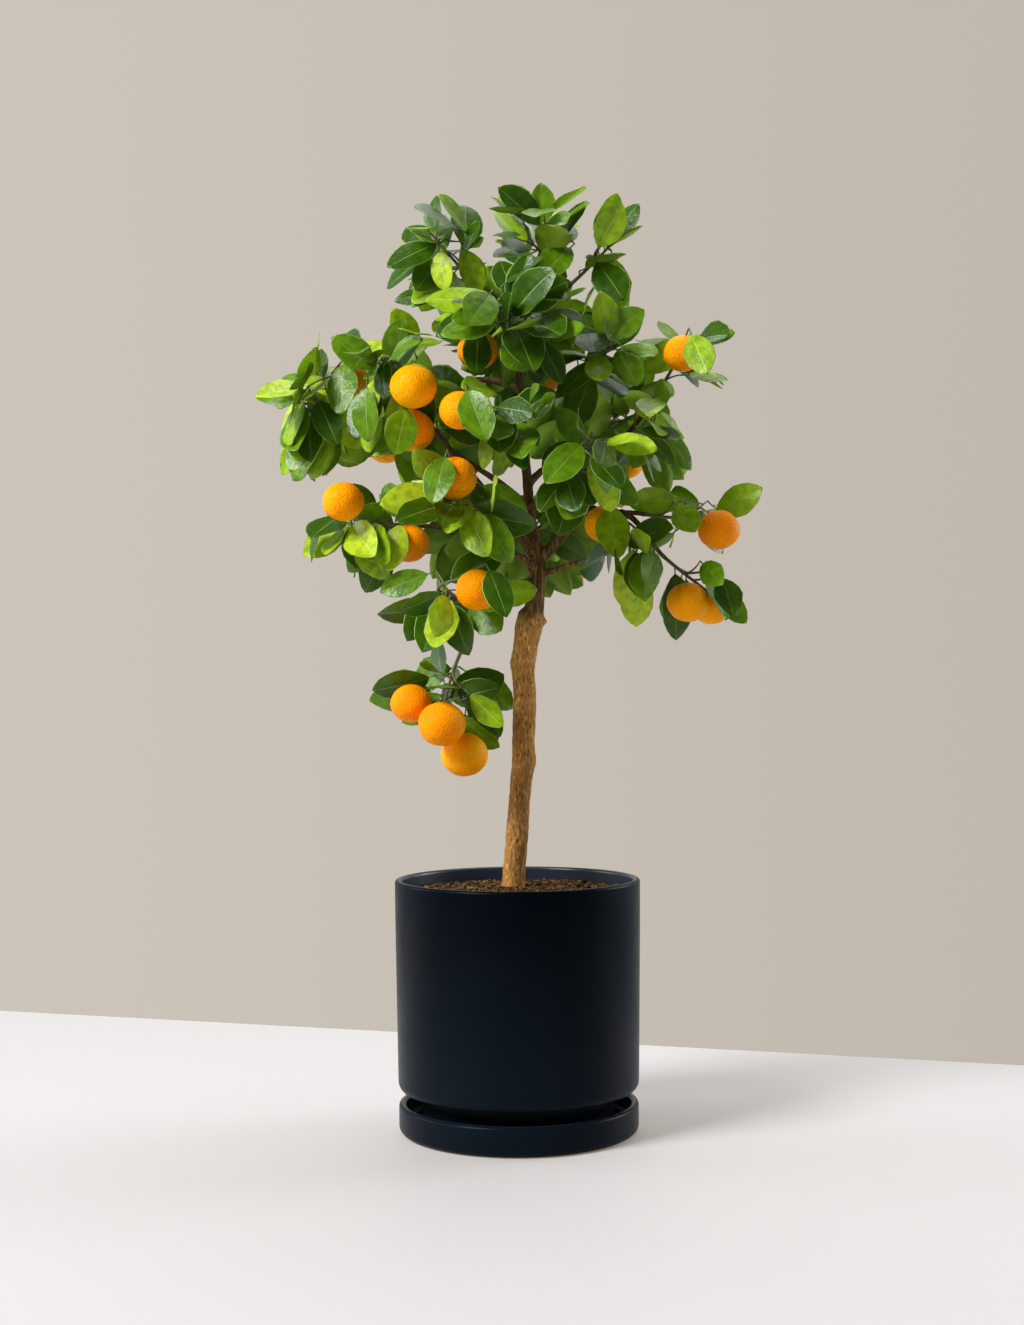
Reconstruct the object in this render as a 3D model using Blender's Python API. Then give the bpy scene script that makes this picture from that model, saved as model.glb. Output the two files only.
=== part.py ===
# Calamondin orange tree in a ceramic cylinder pot with a saucer.
# The tables are in millimetres and degrees, and every mesh is written in metres, with +Z up.
# The origin is the middle of the saucer's flat underside, and the photograph looks along +Y.
import math

import bmesh
import bpy
import numpy as np

MM = 0.001
GAP = 0.3                # clearance between neighbouring solids
TURN_SEGMENTS = 30       # facets round the pot, the saucer and the soil

# Pot, saucer and soil
POT_RADIUS = 105.0       # outside, at the rim
POT_TAPER = 2.0          # how much slimmer the wall is near the bottom
POT_HEIGHT = 215.0       # rim above the table
POT_UNDERSIDE = 35.0     # underside of the pot's body above the table
POT_CORNER = 9.0         # radius of the rounded bottom edge
POT_WALL = 6.0
POT_FLOOR = 9.0
FOOT_RADIUS = 82.0       # outside of the foot ring under the pot
FOOT_WALL = 9.0
SAUCER_RADIUS = 102.5
SAUCER_BASE = 96.0       # radius of the flat underside
SAUCER_HEIGHT = 25.5
SAUCER_FLOOR = 8.0
SAUCER_WALL = 6.5
SOIL_TOP = 205.0         # soil surface above the table

# Trunk: height, X, Y and radius from the flat cut on the soil to just above the fork
TRUNK_SIDES = 12
LEADER_SIDES = 7
UPRIGHT = np.array([0.0, 0.0, 1.0])
TRUNK = [
    (SOIL_TOP + GAP, -3.8, 12.0, 10.6), (212, -3.2, 12.0, 9.7), (231, -1.6, 11.8, 9.4),
    (254, 0.3, 11.4, 9.7), (277, 2.2, 11.0, 9.1), (299, 3.8, 10.7, 9.5), (315, 6.6, 10.4, 10.1),
    (332, 6.2, 10.1, 9.6), (376, 7.6, 9.6, 9.9), (388, 6.5, 9.4, 9.8), (398, 6.0, 9.2, 10.5),
    (418, 9.0, 8.8, 10.9), (431, 11.4, 8.6, 11.9), (437, 12.6, 8.5, 11.4), (446, 14.8, 8.3, 9.6),
    (460, 17.4, 8.0, 8.2), (480, 20.6, 7.6, 6.9), (498, 18.6, 7.2, 6.3), (512, 15.2, 7.0, 5.6)]
# Leader: the same from the second ring on; it starts on the trunk's top, in line with it
LEADER_BASE = 5.3
LEADER = [
    (527, 13.0, 6.8, 4.8), (545, 12.0, 6.5, 4.4),
    (578, 9.4, 6.0, 3.9), (608, 7.4, 6.0, 3.6), (640, 5.2, 6.0, 3.3), (670, 4.0, 5.0, 2.9),
    (700, 8.0, 3.0, 2.3), (714, 12.0, 2.5, 2.1)]

# Boughs: the limb each one leaves and how far along it, the rise and the swing sideways at the
# fork, and the radius there. A bough ends at its mass of foliage, which has the same key, and
# the one with a depth of its own ends deeper in it.
BOUGH_SIDES = 5
BOUGH_POINTS = 5
BOUGH_TIP = 1.9          # radius where a bough enters its mass
BOUGH_START = 0.38       # how far the bends at its two ends reach, over its span
BOUGH_END = 0.30
BOUGH_ARRIVAL = 0.35     # how much of its first direction a bough keeps at its tip
BOUGH_DEPTHS = (0.70, 0.60, 0.50, 0.40, 0.30, 0.20)  # how far from its mass's middle it may end
BOUGHS = {
    "left_high": dict(limb="trunk", along=0.925, rise=48, swing=10, radius=4.6),
    "right_mid": dict(limb="trunk", along=0.925, rise=34, swing=-4, radius=4.8),
    "back_left": dict(limb="leader", along=0.10, rise=42, swing=0, radius=3.4),
    "back_right": dict(limb="leader", along=0.20, rise=45, swing=0, radius=3.4),
    "back_low": dict(limb="trunk", along=0.865, rise=25, swing=0, radius=3.2),
    "front_left": dict(limb="trunk", along=0.895, rise=15, swing=0, radius=3.0),
    "front_right": dict(limb="leader", along=0.10, rise=18, swing=0, radius=3.0),
    "front_heart": dict(limb="leader", along=0.30, rise=25, swing=0, radius=2.8),
    "low_left": dict(limb="trunk", along=0.855, rise=12, swing=0, radius=3.0, depth=0.25),
    "low_right": dict(limb="trunk", along=0.885, rise=0, swing=0, radius=3.0),
    "left_low": dict(limb="left_high", along=0.22, rise=-6, swing=0, radius=3.0),
    "left_tip": dict(limb="leader", along=0.60, rise=35, swing=0, radius=3.0),
    "right_high": dict(limb="leader", along=0.48, rise=40, swing=0, radius=2.9),
    "front_high": dict(limb="leader", along=0.54, rise=40, swing=0, radius=2.9),
    "back_high": dict(limb="leader", along=0.66, rise=45, swing=0, radius=2.8),
    "top_left": dict(limb="leader", along=0.84, rise=55, swing=0, radius=2.5),
    "top_right": dict(limb="leader", along=0.90, rise=55, swing=0, radius=2.4),
    "right_tip": dict(limb="right_mid", along=0.62, rise=66, swing=40, radius=2.6),
    "right_low": dict(limb="right_mid", along=0.55, rise=-20, swing=0, radius=2.8),
    "right_hang": dict(limb="right_low", along=0.60, rise=-16, swing=-25, radius=2.4),
    "hanging": dict(limb="low_left", along=0.76, rise=-60, swing=0, radius=2.2),
}

# Masses of foliage: the middle and the half-sizes of the space each one keeps to, the fruit in
# it as middle and diameter, and the tips of the shoots that stand out of the crown.
MASSES = {
    "top": dict(middle=(24, 2, 756), reach=(74, 68, 56), twigs=4,
                fruit=[], shoots=[(24, -4, 812), (-12, -14, 806)]),
    "top_left": dict(middle=(-56, 2, 751), reach=(62, 64, 56), twigs=5,
                     fruit=[], shoots=[(-70, 0, 803), (-106, 0, 742)]),
    "top_right": dict(middle=(74, 4, 744), reach=(48, 62, 56), twigs=5,
                      fruit=[], shoots=[(106, 0, 797)]),
    "front_high": dict(middle=(-2, -74, 674), reach=(70, 66, 58), twigs=5,
                       fruit=[(-30, -52, 660, 34)], shoots=[]),
    "back_high": dict(middle=(0, 88, 694), reach=(80, 70, 64), twigs=5,
                      fruit=[(30, 132, 668, 35)], shoots=[]),
    "left_high": dict(middle=(-98, -48, 634), reach=(66, 72, 56), twigs=4,
                      fruit=[(-81, -104, 622, 38), (-84, -78, 590, 37)], shoots=[]),
    "front_heart": dict(middle=(-8, -84, 588), reach=(58, 60, 56), twigs=6,
                        fruit=[(-44, -108, 602, 33)], shoots=[]),
    "left_tip": dict(middle=(-167, -2, 618), reach=(51, 66, 64), twigs=5,
                     fruit=[(-140, -14, 640, 34)], shoots=[(-221, -4, 633)]),
    "left_low": dict(middle=(-126, 0, 520), reach=(56, 66, 58), twigs=4,
                     fruit=[(-143, -48, 535, 35), (-90, -20, 502, 35)], shoots=[]),
    "front_left": dict(middle=(-46, -88, 526), reach=(62, 64, 58), twigs=4,
                       fruit=[(-49, -104, 548, 37)], shoots=[]),
    "low_left": dict(middle=(-48, -40, 450), reach=(62, 60, 54), twigs=3,
                     fruit=[(-31, -80, 459, 36)], shoots=[]),
    "hanging": dict(middle=(-64, -14, 374), reach=(76, 56, 56), twigs=4,
                    fruit=[(-89, -22, 366, 35), (-62, -48, 349, 40), (-44, -18, 322, 40)],
                    shoots=[(-130, -6, 384)], stem=(-62, -8, 362)),
    "front_right": dict(middle=(56, -76, 562), reach=(60, 64, 60), twigs=5,
                        fruit=[], shoots=[]),
    "right_mid": dict(middle=(112, -14, 602), reach=(48, 66, 54), twigs=4,
                      fruit=[], shoots=[]),
    "low_right": dict(middle=(88, -26, 494), reach=(56, 60, 50), twigs=5,
                      fruit=[(76, -20, 517, 34)], shoots=[(92, -20, 446), (104, -12, 428)]),
    "right_high": dict(middle=(72, -30, 652), reach=(52, 70, 56), twigs=5,
                       fruit=[], shoots=[]),
    "right_tip": dict(middle=(144, 12, 662), reach=(52, 58, 46), twigs=5,
                      fruit=[(143, -28, 660, 33)], shoots=[(190, 0, 684)]),
    "right_low": dict(middle=(152, 14, 522), reach=(58, 58, 42), twigs=5,
                      fruit=[(174, -12, 512, 36)], shoots=[(213, 0, 549)]),
    "right_hang": dict(middle=(152, -6, 464), reach=(54, 54, 46), twigs=5,
                       fruit=[(146, -24, 450, 36), (170, 18, 448, 34)], shoots=[]),
    "back_left": dict(middle=(-88, 98, 620), reach=(82, 78, 76), twigs=4,
                      fruit=[(-120, 146, 606, 37), (-52, 158, 640, 35)], shoots=[]),
    "back_right": dict(middle=(86, 96, 614), reach=(82, 78, 76), twigs=4,
                       fruit=[(104, 152, 590, 37)], shoots=[]),
    "back_low": dict(middle=(0, 88, 514), reach=(86, 76, 58), twigs=4,
                     fruit=[(-28, 142, 500, 36), (48, 128, 486, 36)], shoots=[]),
}
SPACE_MARGIN = 0.022     # how much nearer its own middle a leaf lies than any other
TWIG_RADIUS = 1.7        # at the foot of a mass's stem
STEM_TIP = 1.1
STEM_REACH = 0.4         # how far past its mass's middle a stem ends, over the reach
STEM_LIFT = 12.0         # how much higher than straight on it aims
STEM_BEND = 0.4          # how far it keeps its bough's direction, over its length
SIDE_RADIUS = 1.35       # at the foot of a side twig
TWIG_TIP = 0.9
STALK_TIP = 1.2
TWIG_BEND = 0.45         # how far along a twig bends, and how much it keeps there of the
TWIG_HEADING = 0.7       # direction of the one it leaves, and of straight up
TWIG_RISE = 0.15
TWIG_PLACES = 3          # places in turn along a stem where side twigs leave it
TWIG_LEAST = 16.0        # shorter side twigs are skipped
TWIG_HELD_BACK = 0.6     # how far inside the reach a twig ends, over a leaf's length
SHOOT_PLACES = (0.9, 0.65, 0.4)
STALK_PLACES = (0.97, 0.75, 0.5, 0.25)
TWIG_CLEARANCE = 1.0     # between a twig and the limbs and fruit it doesn't join
TWIG_STEP = 20.0         # between the rings of a twig
LEAF_LENGTH = 60.0
LEAF_REACH = 1.12        # how far out of its mass's reach a leaf may stand
LEAF_WIDTH = 0.56        # width over length
LEAF_THICKNESS = 1.2
LEAF_SAG = 0.10          # how far the tip bends down, over the length
LEAF_FOLD = 0.10         # how far the edges lift, over the width
LEAF_CLEARANCE = 0.8     # between a leaf and the twigs and leaves round it
LIMB_CLEARANCE = 1.2     # between a leaf and the limbs and fruit round it
FIRST_LEAF = 0.28        # how far along a twig its leaves begin
ROOT_DEPTH = 0.4         # how far past its twig's middle a leaf is rooted
LEAF_SPACING = 13.5      # between leaves along a twig
LEAF_ANGLE = 52.0        # between a leaf and its twig
LEAF_TRIES = 12          # places round a twig tried for each leaf, and its sizes tried in turn
LEAF_SIZES = (1.0, 0.88, 0.76)
LEAF_FLATTEN = 0.4       # how far a leaf turns square to the way it faces
LEAF_SPREAD = 0.35       # how far it turns away from its mass's middle
LEAF_DROOP = 0.50        # in the lower crown; leaves at the top stand up
LEAF_OUT = 0.45          # shares of the way a leaf faces: out of the crown, up, to the front or
LEAF_UP = 0.35           # the back, and a little off
LEAF_BROAD = 0.60
LEAF_STRAY = 0.50
FRONT_HALF = 30.0        # leaves less than this behind the crown's heart face the front
CROWN_HEART = np.array([0.0, 10.0, 560.0])
CROWN_TOP = 790.0
GOLDEN = 137.5
FRUIT_FLATTEN = 0.93     # height over width of a fruit
SEED = 41


def unit(vector):
    return vector / np.linalg.norm(vector)


def bezier(points, count):
    """Point on the Bezier curve through the first and last of its control points."""
    t = np.linspace(0, 1, count)[:, None]
    n = len(points) - 1
    return sum(math.comb(n, k) * (1 - t) ** (n - k) * t ** k * np.array(p, float)
               for k, p in enumerate(points))


def lengths_along(path):
    steps = np.linalg.norm(np.diff(path, axis=0), axis=1)
    return np.concatenate([[0.0], np.cumsum(steps)])


def point_along(path, fraction):
    """Point and direction at a fraction of a path's length."""
    run = lengths_along(path)
    target = fraction * run[-1]
    k = min(int(np.searchsorted(run, target, side="right")) - 1, len(path) - 2)
    step = path[k + 1] - path[k]
    return path[k] + step * (target - run[k]) / (run[k + 1] - run[k]), unit(step)


def even_path(path, spacing):
    """The same path with its points about one spacing apart."""
    run = lengths_along(path)
    count = max(2, int(round(run[-1] / spacing)) + 1)
    at = np.linspace(0, run[-1], count)
    return np.stack([np.interp(at, run, path[:, k]) for k in range(3)], axis=1)


# Meshes
def new_object(name, vertices, faces, material=None):
    mesh = bpy.data.meshes.new(name)
    mesh.from_pydata([tuple(v * MM for v in p) for p in vertices], [], faces)
    item = bpy.data.objects.new(name, mesh)
    bpy.context.scene.collection.objects.link(item)
    if material:
        mesh.materials.append(material)
    return item


def finish_material(name, colour, roughness):
    material = bpy.data.materials.new(name)
    material.use_nodes = True
    shader = material.node_tree.nodes["Principled BSDF"]
    shader.inputs["Base Color"].default_value = (*colour, 1.0)
    shader.inputs["Roughness"].default_value = roughness
    shader.inputs["Metallic"].default_value = 0.0
    return material


def turned(name, profile, material):
    """Closed profile of radius and height points, counter-clockwise, turned round Z."""
    angles = [2 * math.pi * k / TURN_SEGMENTS for k in range(TURN_SEGMENTS)]
    vertices, rings = [], []
    for radius, height in profile:
        if radius == 0:
            rings.append([len(vertices)] * TURN_SEGMENTS)
            vertices.append((0.0, 0.0, height))
        else:
            rings.append([len(vertices) + k for k in range(TURN_SEGMENTS)])
            vertices += [(radius * math.cos(a), radius * math.sin(a), height) for a in angles]
    faces = []
    for lower, upper in zip(rings, rings[1:] + rings[:1]):
        for k in range(TURN_SEGMENTS):
            n = (k + 1) % TURN_SEGMENTS
            corners = [lower[k], lower[n], upper[n], upper[k]]
            corners = [c for i, c in enumerate(corners) if c != corners[i - 1]]
            if len(corners) > 2:
                faces.append(corners)
    item = new_object(name, vertices, faces, material)
    item.data.shade_smooth()
    item.data.set_sharp_from_angle(angle=math.radians(40))
    return item


def arc(middle, radius, start, end, count):
    """Points of an arc in the profile plane, angles from the outward direction."""
    angles = [math.radians(start + (end - start) * k / (count - 1)) for k in range(count)]
    return [(middle[0] + radius * math.cos(a), middle[1] + radius * math.sin(a)) for a in angles]


def tube_rings(path, sides, radii, lean=None):
    """Rings of points square to a path, with no twist from one ring to the next."""
    path = np.asarray(path, float)
    steps = np.diff(path, axis=0)
    tangents = np.vstack([steps[:1], steps[:-1] + steps[1:], steps[-1:]])
    tangents = tangents / np.linalg.norm(tangents, axis=1)[:, None]
    if lean is not None:
        tangents[0] = lean
    side = np.cross(tangents[0], (0.0, 1.0, 0.0))
    if np.linalg.norm(side) < 0.1:
        side = np.cross(tangents[0], (1.0, 0.0, 0.0))
    rings = []
    for point, tangent, radius in zip(path, tangents, radii):
        side = unit(side - tangent * np.dot(side, tangent))
        across = np.cross(tangent, side)
        turn = [2 * math.pi * k / sides for k in range(sides)]
        rings.append([point + radius * (math.cos(a) * side + math.sin(a) * across) for a in turn])
    return rings


def tube(name, path, sides, radii, material=None, lean=None):
    """Closed tapering tube with flat ends, the first one square to the lean if that is given."""
    rings = tube_rings(path, sides, radii, lean)
    vertices = [point for ring in rings for point in ring]
    faces = []
    for r in range(len(rings) - 1):
        for k in range(sides):
            n = (k + 1) % sides
            low, high = r * sides, (r + 1) * sides
            faces.append([low + k, low + n, high + n, high + k])
    last = (len(rings) - 1) * sides
    faces.append([k for k in reversed(range(sides))])
    faces.append([last + k for k in range(sides)])
    return new_object(name, vertices, faces, material)


# Pot, saucer and soil
def make_pot(material):
    bottom = POT_RADIUS - POT_TAPER
    corner = arc((bottom - POT_CORNER, POT_UNDERSIDE + POT_CORNER), POT_CORNER, -90, 0, 4)
    rim = [(POT_RADIUS, POT_HEIGHT - 1.5), (POT_RADIUS - 1.5, POT_HEIGHT),
           (POT_RADIUS - POT_WALL + 1.5, POT_HEIGHT), (POT_RADIUS - POT_WALL, POT_HEIGHT - 1.5)]
    inside = [(bottom - POT_WALL, POT_UNDERSIDE + POT_FLOOR), (0, POT_UNDERSIDE + POT_FLOOR)]
    seat = SAUCER_FLOOR + GAP
    foot = [(0, POT_UNDERSIDE), (FOOT_RADIUS - FOOT_WALL, POT_UNDERSIDE),
            (FOOT_RADIUS - FOOT_WALL, seat), (FOOT_RADIUS, seat), (FOOT_RADIUS, POT_UNDERSIDE)]
    return turned("pot", foot + corner + rim + inside, material)


def make_saucer(material):
    edge = SAUCER_RADIUS - SAUCER_BASE
    outside = arc((SAUCER_BASE, edge), edge, -90, 0, 3)
    top = arc((SAUCER_RADIUS - SAUCER_WALL / 2, SAUCER_HEIGHT - SAUCER_WALL / 2),
              SAUCER_WALL / 2, 0, 180, 5)
    inside = [(SAUCER_RADIUS - SAUCER_WALL - 4, SAUCER_FLOOR), (0, SAUCER_FLOOR)]
    return turned("saucer", [(0, 0)] + outside + top + inside, material)


def wall_inside(height):
    """Radius of the pot's inner wall at a height above the pot's floor."""
    low, high = POT_UNDERSIDE + POT_FLOOR, POT_HEIGHT - 1.5
    return POT_RADIUS - POT_WALL - POT_TAPER * (high - height) / (high - low)


def make_soil(material):
    floor = POT_UNDERSIDE + POT_FLOOR + GAP
    profile = [(0, floor), (wall_inside(floor) - GAP, floor),
               (wall_inside(SOIL_TOP) - GAP, SOIL_TOP), (0, SOIL_TOP)]
    return turned("soil", profile, material)


# Limbs
class Limb:
    def __init__(self, name, path, radii):
        self.name = name
        self.path = np.asarray(path, float)
        self.radii = np.asarray(radii, float)

    def balls(self, spacing=4.0):
        """Points along the limb with its radius there."""
        run = lengths_along(self.path)
        points = even_path(self.path, spacing)
        at = np.linspace(0, run[-1], len(points))
        return np.column_stack([points, np.interp(at, run, self.radii)])


def in_reach(point, mass):
    return np.linalg.norm((point - np.array(mass["middle"])) / np.array(mass["reach"]))


def bough_limb(name, limbs):
    """A bough from its fork to the place where it enters its mass."""
    plan = BOUGHS[name]
    mass = MASSES[name]
    middle = np.array(mass["middle"], float)
    fork, _ = point_along(limbs[plan["limb"]].path, plan["along"])
    flat = middle - fork
    bearing = math.atan2(flat[1], flat[0]) + math.radians(plan["swing"])
    rise = math.radians(plan["rise"])
    start = np.array([math.cos(bearing) * math.cos(rise), math.sin(bearing) * math.cos(rise),
                      math.sin(rise)])
    depths = [plan["depth"]] if "depth" in plan else BOUGH_DEPTHS
    depths = [depth / in_reach(fork, mass) for depth in depths]
    tips = [middle + (fork - middle) * depth for depth in depths]
    tip = next(tip for tip in tips if own_space(tip[None], name)[0])
    span = np.linalg.norm(tip - fork)
    arrive = unit(unit(middle - fork) + BOUGH_ARRIVAL * start)
    path = bezier([fork, fork + start * span * BOUGH_START, tip - arrive * span * BOUGH_END, tip],
                  BOUGH_POINTS)
    radii = np.linspace(plan["radius"], BOUGH_TIP, len(path))
    return Limb(name + "_bough", path, radii)


def all_limbs():
    trunk = Limb("trunk", [(x, y, z) for z, x, y, _ in TRUNK], [r for *_, r in TRUNK])
    base = trunk.path[-1] + GAP * unit(trunk.path[-1] - trunk.path[-2])
    leader = Limb("leader", [base] + [(x, y, z) for z, x, y, _ in LEADER],
                  [LEADER_BASE] + [r for *_, r in LEADER])
    limbs = {"trunk": trunk, "leader": leader}
    for name in BOUGHS:
        limbs[name] = bough_limb(name, limbs)
    return limbs


def make_bough(name, limbs, material):
    """The bough as a tapering tube, cut to the limb it leaves with a small gap."""
    limb = limbs[name]
    item = tube(limb.name, limb.path, BOUGH_SIDES, limb.radii, material)
    parent = limbs[BOUGHS[name]["limb"]]
    sides = {"trunk": TRUNK_SIDES, "leader": LEADER_SIDES}.get(parent.name, BOUGH_SIDES)
    cutter = tube("cutter", parent.path, sides, parent.radii + GAP)
    cut = item.modifiers.new("cut", "BOOLEAN")
    cut.operation = "DIFFERENCE"
    cut.object = cutter
    apply_modifier(item, cut)
    bpy.data.objects.remove(cutter, do_unlink=True)
    keep_largest(item)
    return item


# Mass of foliage
def own_space(points, name, limit=1.0):
    """True for each point that lies within this mass's reach and clear of every other mass."""
    names = list(MASSES)
    middles = np.array([MASSES[n]["middle"] for n in names], float)
    reaches = np.array([MASSES[n]["reach"] for n in names], float)
    far = np.linalg.norm((points[:, None, :] - middles) / reaches, axis=2)
    own = names.index(name)
    other = np.delete(far, own, axis=1).min(axis=1)
    return (far[:, own] < limit) & (other - far[:, own] > SPACE_MARGIN)


class Leaf:
    """A blade with its root, its direction, the way it faces and its length."""
    outline = [(0.0, 0.0), (0.30, 0.40), (0.68, 0.48), (1.0, 0.0), (0.68, -0.48), (0.30, -0.40)]
    half = [(0.30, 0.40), (0.43, 0.43), (0.56, 0.46), (0.68, 0.48), (0.79, 0.32), (0.90, 0.16),
            (0.22, 0.25), (0.45, 0.2), (0.7, 0.2)]
    spots = half + [(a, -b) for a, b in half] + [(0.25, 0), (0.4, 0), (0.55, 0), (0.8, 0), (1, 0)]

    def __init__(self, root, along, facing, length):
        self.along = unit(along)
        self.root = root - self.along * ROOT_DEPTH
        self.facing = unit(facing - self.along * np.dot(facing, self.along))
        self.across = np.cross(self.facing, self.along)
        self.length = length
        self.width = length * LEAF_WIDTH

    def point(self, a, b, lift=0.0):
        sag = -LEAF_SAG * a * a * self.length + LEAF_FOLD * abs(b) * self.width
        return (self.root + self.along * a * self.length + self.across * b * self.width
                + self.facing * (sag + lift))

    def samples(self):
        """Points spread over the blade, its rim included."""
        return np.array([self.point(a, b) for a, b in self.spots])

    def centre(self):
        return self.point(0.55, 0)

    def hits(self, balls, clearance, root=0.0):
        """True if any ball comes within the clearance of the blade, past a length of its root."""
        offset = balls[:, :3] - self.root
        a = offset @ self.along
        b = offset @ self.across
        sag = LEAF_SAG * np.clip(a, 0, None) ** 2 / self.length - LEAF_FOLD * np.abs(b)
        lift = offset @ self.facing + sag
        room = balls[:, 3] + clearance
        half = self.length / 2
        inside = ((a - half) / (half + room)) ** 2 + (b / (self.width / 2 + room)) ** 2 < 1
        past_root = (a > root * self.length) | (root == 0.0)
        return bool(np.any(inside & past_root & (np.abs(lift) < room)))

    def balls(self):
        points = self.samples()
        return np.column_stack([points, np.full(len(points), 0.7)])


class Mass:
    def __init__(self, name, limbs, fruit):
        self.name = name
        self.plan = MASSES[name]
        self.middle = np.array(self.plan["middle"], float)
        self.reach = np.array(self.plan["reach"], float)
        self.random = np.random.RandomState(SEED + list(MASSES).index(name))
        self.limb = limbs["leader" if name == "top" else name]
        rest = [limb.balls() for limb in limbs.values() if limb is not self.limb]
        self.others = np.vstack(rest + [fruit])
        self.balls = np.vstack([self.others, self.limb.balls()])
        self.twigs = []
        self.leaves = []
        self.fruit = [np.array(f, float) for f in self.plan["fruit"]]

    def clear(self, path, balls, limit=1.0):
        """The path as far as it stays in the space and clear of limbs and fruit."""
        fine = even_path(path, 4.0)
        far = np.linalg.norm(fine[:, None, :] - balls[None, :, :3], axis=2)
        good = np.all(far > balls[:, 3] + TWIG_RADIUS + TWIG_CLEARANCE, axis=1)
        good &= own_space(fine, self.name, limit)
        bad = np.flatnonzero(~good)
        if not len(bad):
            return path, True
        return even_path(fine[:max(int(bad[0]), 2)], TWIG_STEP), False

    def grow_stem(self):
        tip, heading = self.limb.path[-1], unit(self.limb.path[-1] - self.limb.path[-2])
        start = tip + heading * GAP
        onward = unit(self.middle - tip + UPRIGHT * STEM_LIFT)
        goal = self.middle + STEM_REACH * self.reach * onward
        goal = np.array(self.plan.get("stem", goal), float)
        span = np.linalg.norm(goal - start)
        bend = start + heading * span * STEM_BEND
        curve = even_path(bezier([start, bend, goal], 20), TWIG_STEP)
        path, whole = self.clear(curve, self.others)
        if not whole:
            print(self.name, "stem stops after", round(lengths_along(path)[-1]), "mm")
        self.twigs.append((path, TWIG_RADIUS, STEM_TIP))
        return path

    def side_twig(self, stem, target, along, least=0.0, end=TWIG_TIP, whole=False, spared=None):
        """A curved twig from the stem towards a target, as long as it stays clear."""
        start, heading = point_along(stem, along)
        span = np.linalg.norm(target - start)
        way = unit(target - start) + TWIG_HEADING * heading + TWIG_RISE * UPRIGHT
        bend = start + span * TWIG_BEND * unit(way)
        curve = even_path(bezier([start, bend, target], 20), TWIG_STEP)
        balls = self.balls
        if spared is not None:
            balls = balls[np.linalg.norm(balls[:, :3] - spared, axis=1) > 1e-6]
        path, complete = self.clear(curve, balls, 1.5 if whole else 1.0)
        if (whole and not complete) or lengths_along(path)[-1] < least:
            return None
        self.twigs.append((path, SIDE_RADIUS, end))
        return path

    def facing(self, point):
        """The way a blade faces: out, up, and to the front or the back, each a little off."""
        out = point - CROWN_HEART
        broad = np.array([0.0, -1.0 if out[1] < FRONT_HALF else 1.0, 0.0])
        wobble = self.random.uniform(-LEAF_STRAY, LEAF_STRAY, 3)
        return unit(unit(out) * LEAF_OUT + UPRIGHT * LEAF_UP + broad * LEAF_BROAD + wobble)

    def add_leaf(self, root, heading, turn, angle, length):
        """One leaf, turned to the widest free room; a smaller one where no large one fits."""
        facing = self.facing(root)
        out = unit(root - self.middle + 1e-3)
        droop = LEAF_DROOP * np.clip((CROWN_TOP - root[2]) / 200.0, 0, 1)
        side = unit(np.cross(heading, (0.31, 0.22, 0.93)))
        for shrink in LEAF_SIZES:
            best, best_room = None, 0.0
            for attempt in range(LEAF_TRIES):
                spin = math.radians(turn + attempt * 360.0 / LEAF_TRIES)
                lean = math.radians(angle + 14.0 * (attempt % 3))
                around = math.cos(spin) * side + math.sin(spin) * np.cross(heading, side)
                along = math.cos(lean) * heading + math.sin(lean) * around
                along = unit(along - LEAF_FLATTEN * facing * np.dot(along, facing))
                along = along + LEAF_SPREAD * out - droop * UPRIGHT
                leaf = Leaf(root, along, facing, length * shrink)
                room = self.room(leaf)
                if room > best_room and self.fits(leaf):
                    best, best_room = leaf, room
            if best:
                self.leaves.append(best)
                return

    def room(self, leaf):
        """Distance from the middle of a blade to the nearest other one."""
        if not self.leaves:
            return 1.0
        middles = np.array([other.centre() for other in self.leaves])
        return np.linalg.norm(middles - leaf.centre(), axis=1).min()

    def fits(self, leaf):
        if not np.all(own_space(leaf.samples(), self.name, LEAF_REACH)):
            return False
        if leaf.hits(self.balls, LIMB_CLEARANCE):
            return False
        wood = np.vstack([even_path(path, 5.0)[1:] for path, *_ in self.twigs])
        wood = np.column_stack([wood, np.full(len(wood), STALK_TIP)])
        if leaf.hits(wood, LEAF_CLEARANCE, root=0.2):
            return False
        balls = leaf.balls()
        for other in self.leaves:
            if np.linalg.norm(other.centre() - leaf.centre()) > LEAF_LENGTH * 1.3:
                continue
            if leaf.hits(other.balls(), LEAF_CLEARANCE, root=0.2):
                return False
            if other.hits(balls, LEAF_CLEARANCE, root=0.2):
                return False
        return True

    def clothe(self, path, tip_leaf=True):
        """Leaves in turn along a twig, and one at its tip."""
        run = lengths_along(path)[-1]
        turn = self.random.uniform(0, 360)
        at = FIRST_LEAF * run
        while at < run - 5.0:
            root, heading = point_along(path, at / run)
            size = LEAF_LENGTH * self.random.uniform(0.84, 1.08)
            self.add_leaf(root, heading, turn, LEAF_ANGLE, size)
            turn += GOLDEN
            at += LEAF_SPACING * self.random.uniform(0.85, 1.2)
        if tip_leaf:
            heading = unit(path[-1] - path[-2])
            self.add_leaf(path[-1] - heading * 0.8, heading, turn, 14.0, LEAF_LENGTH)

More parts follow.
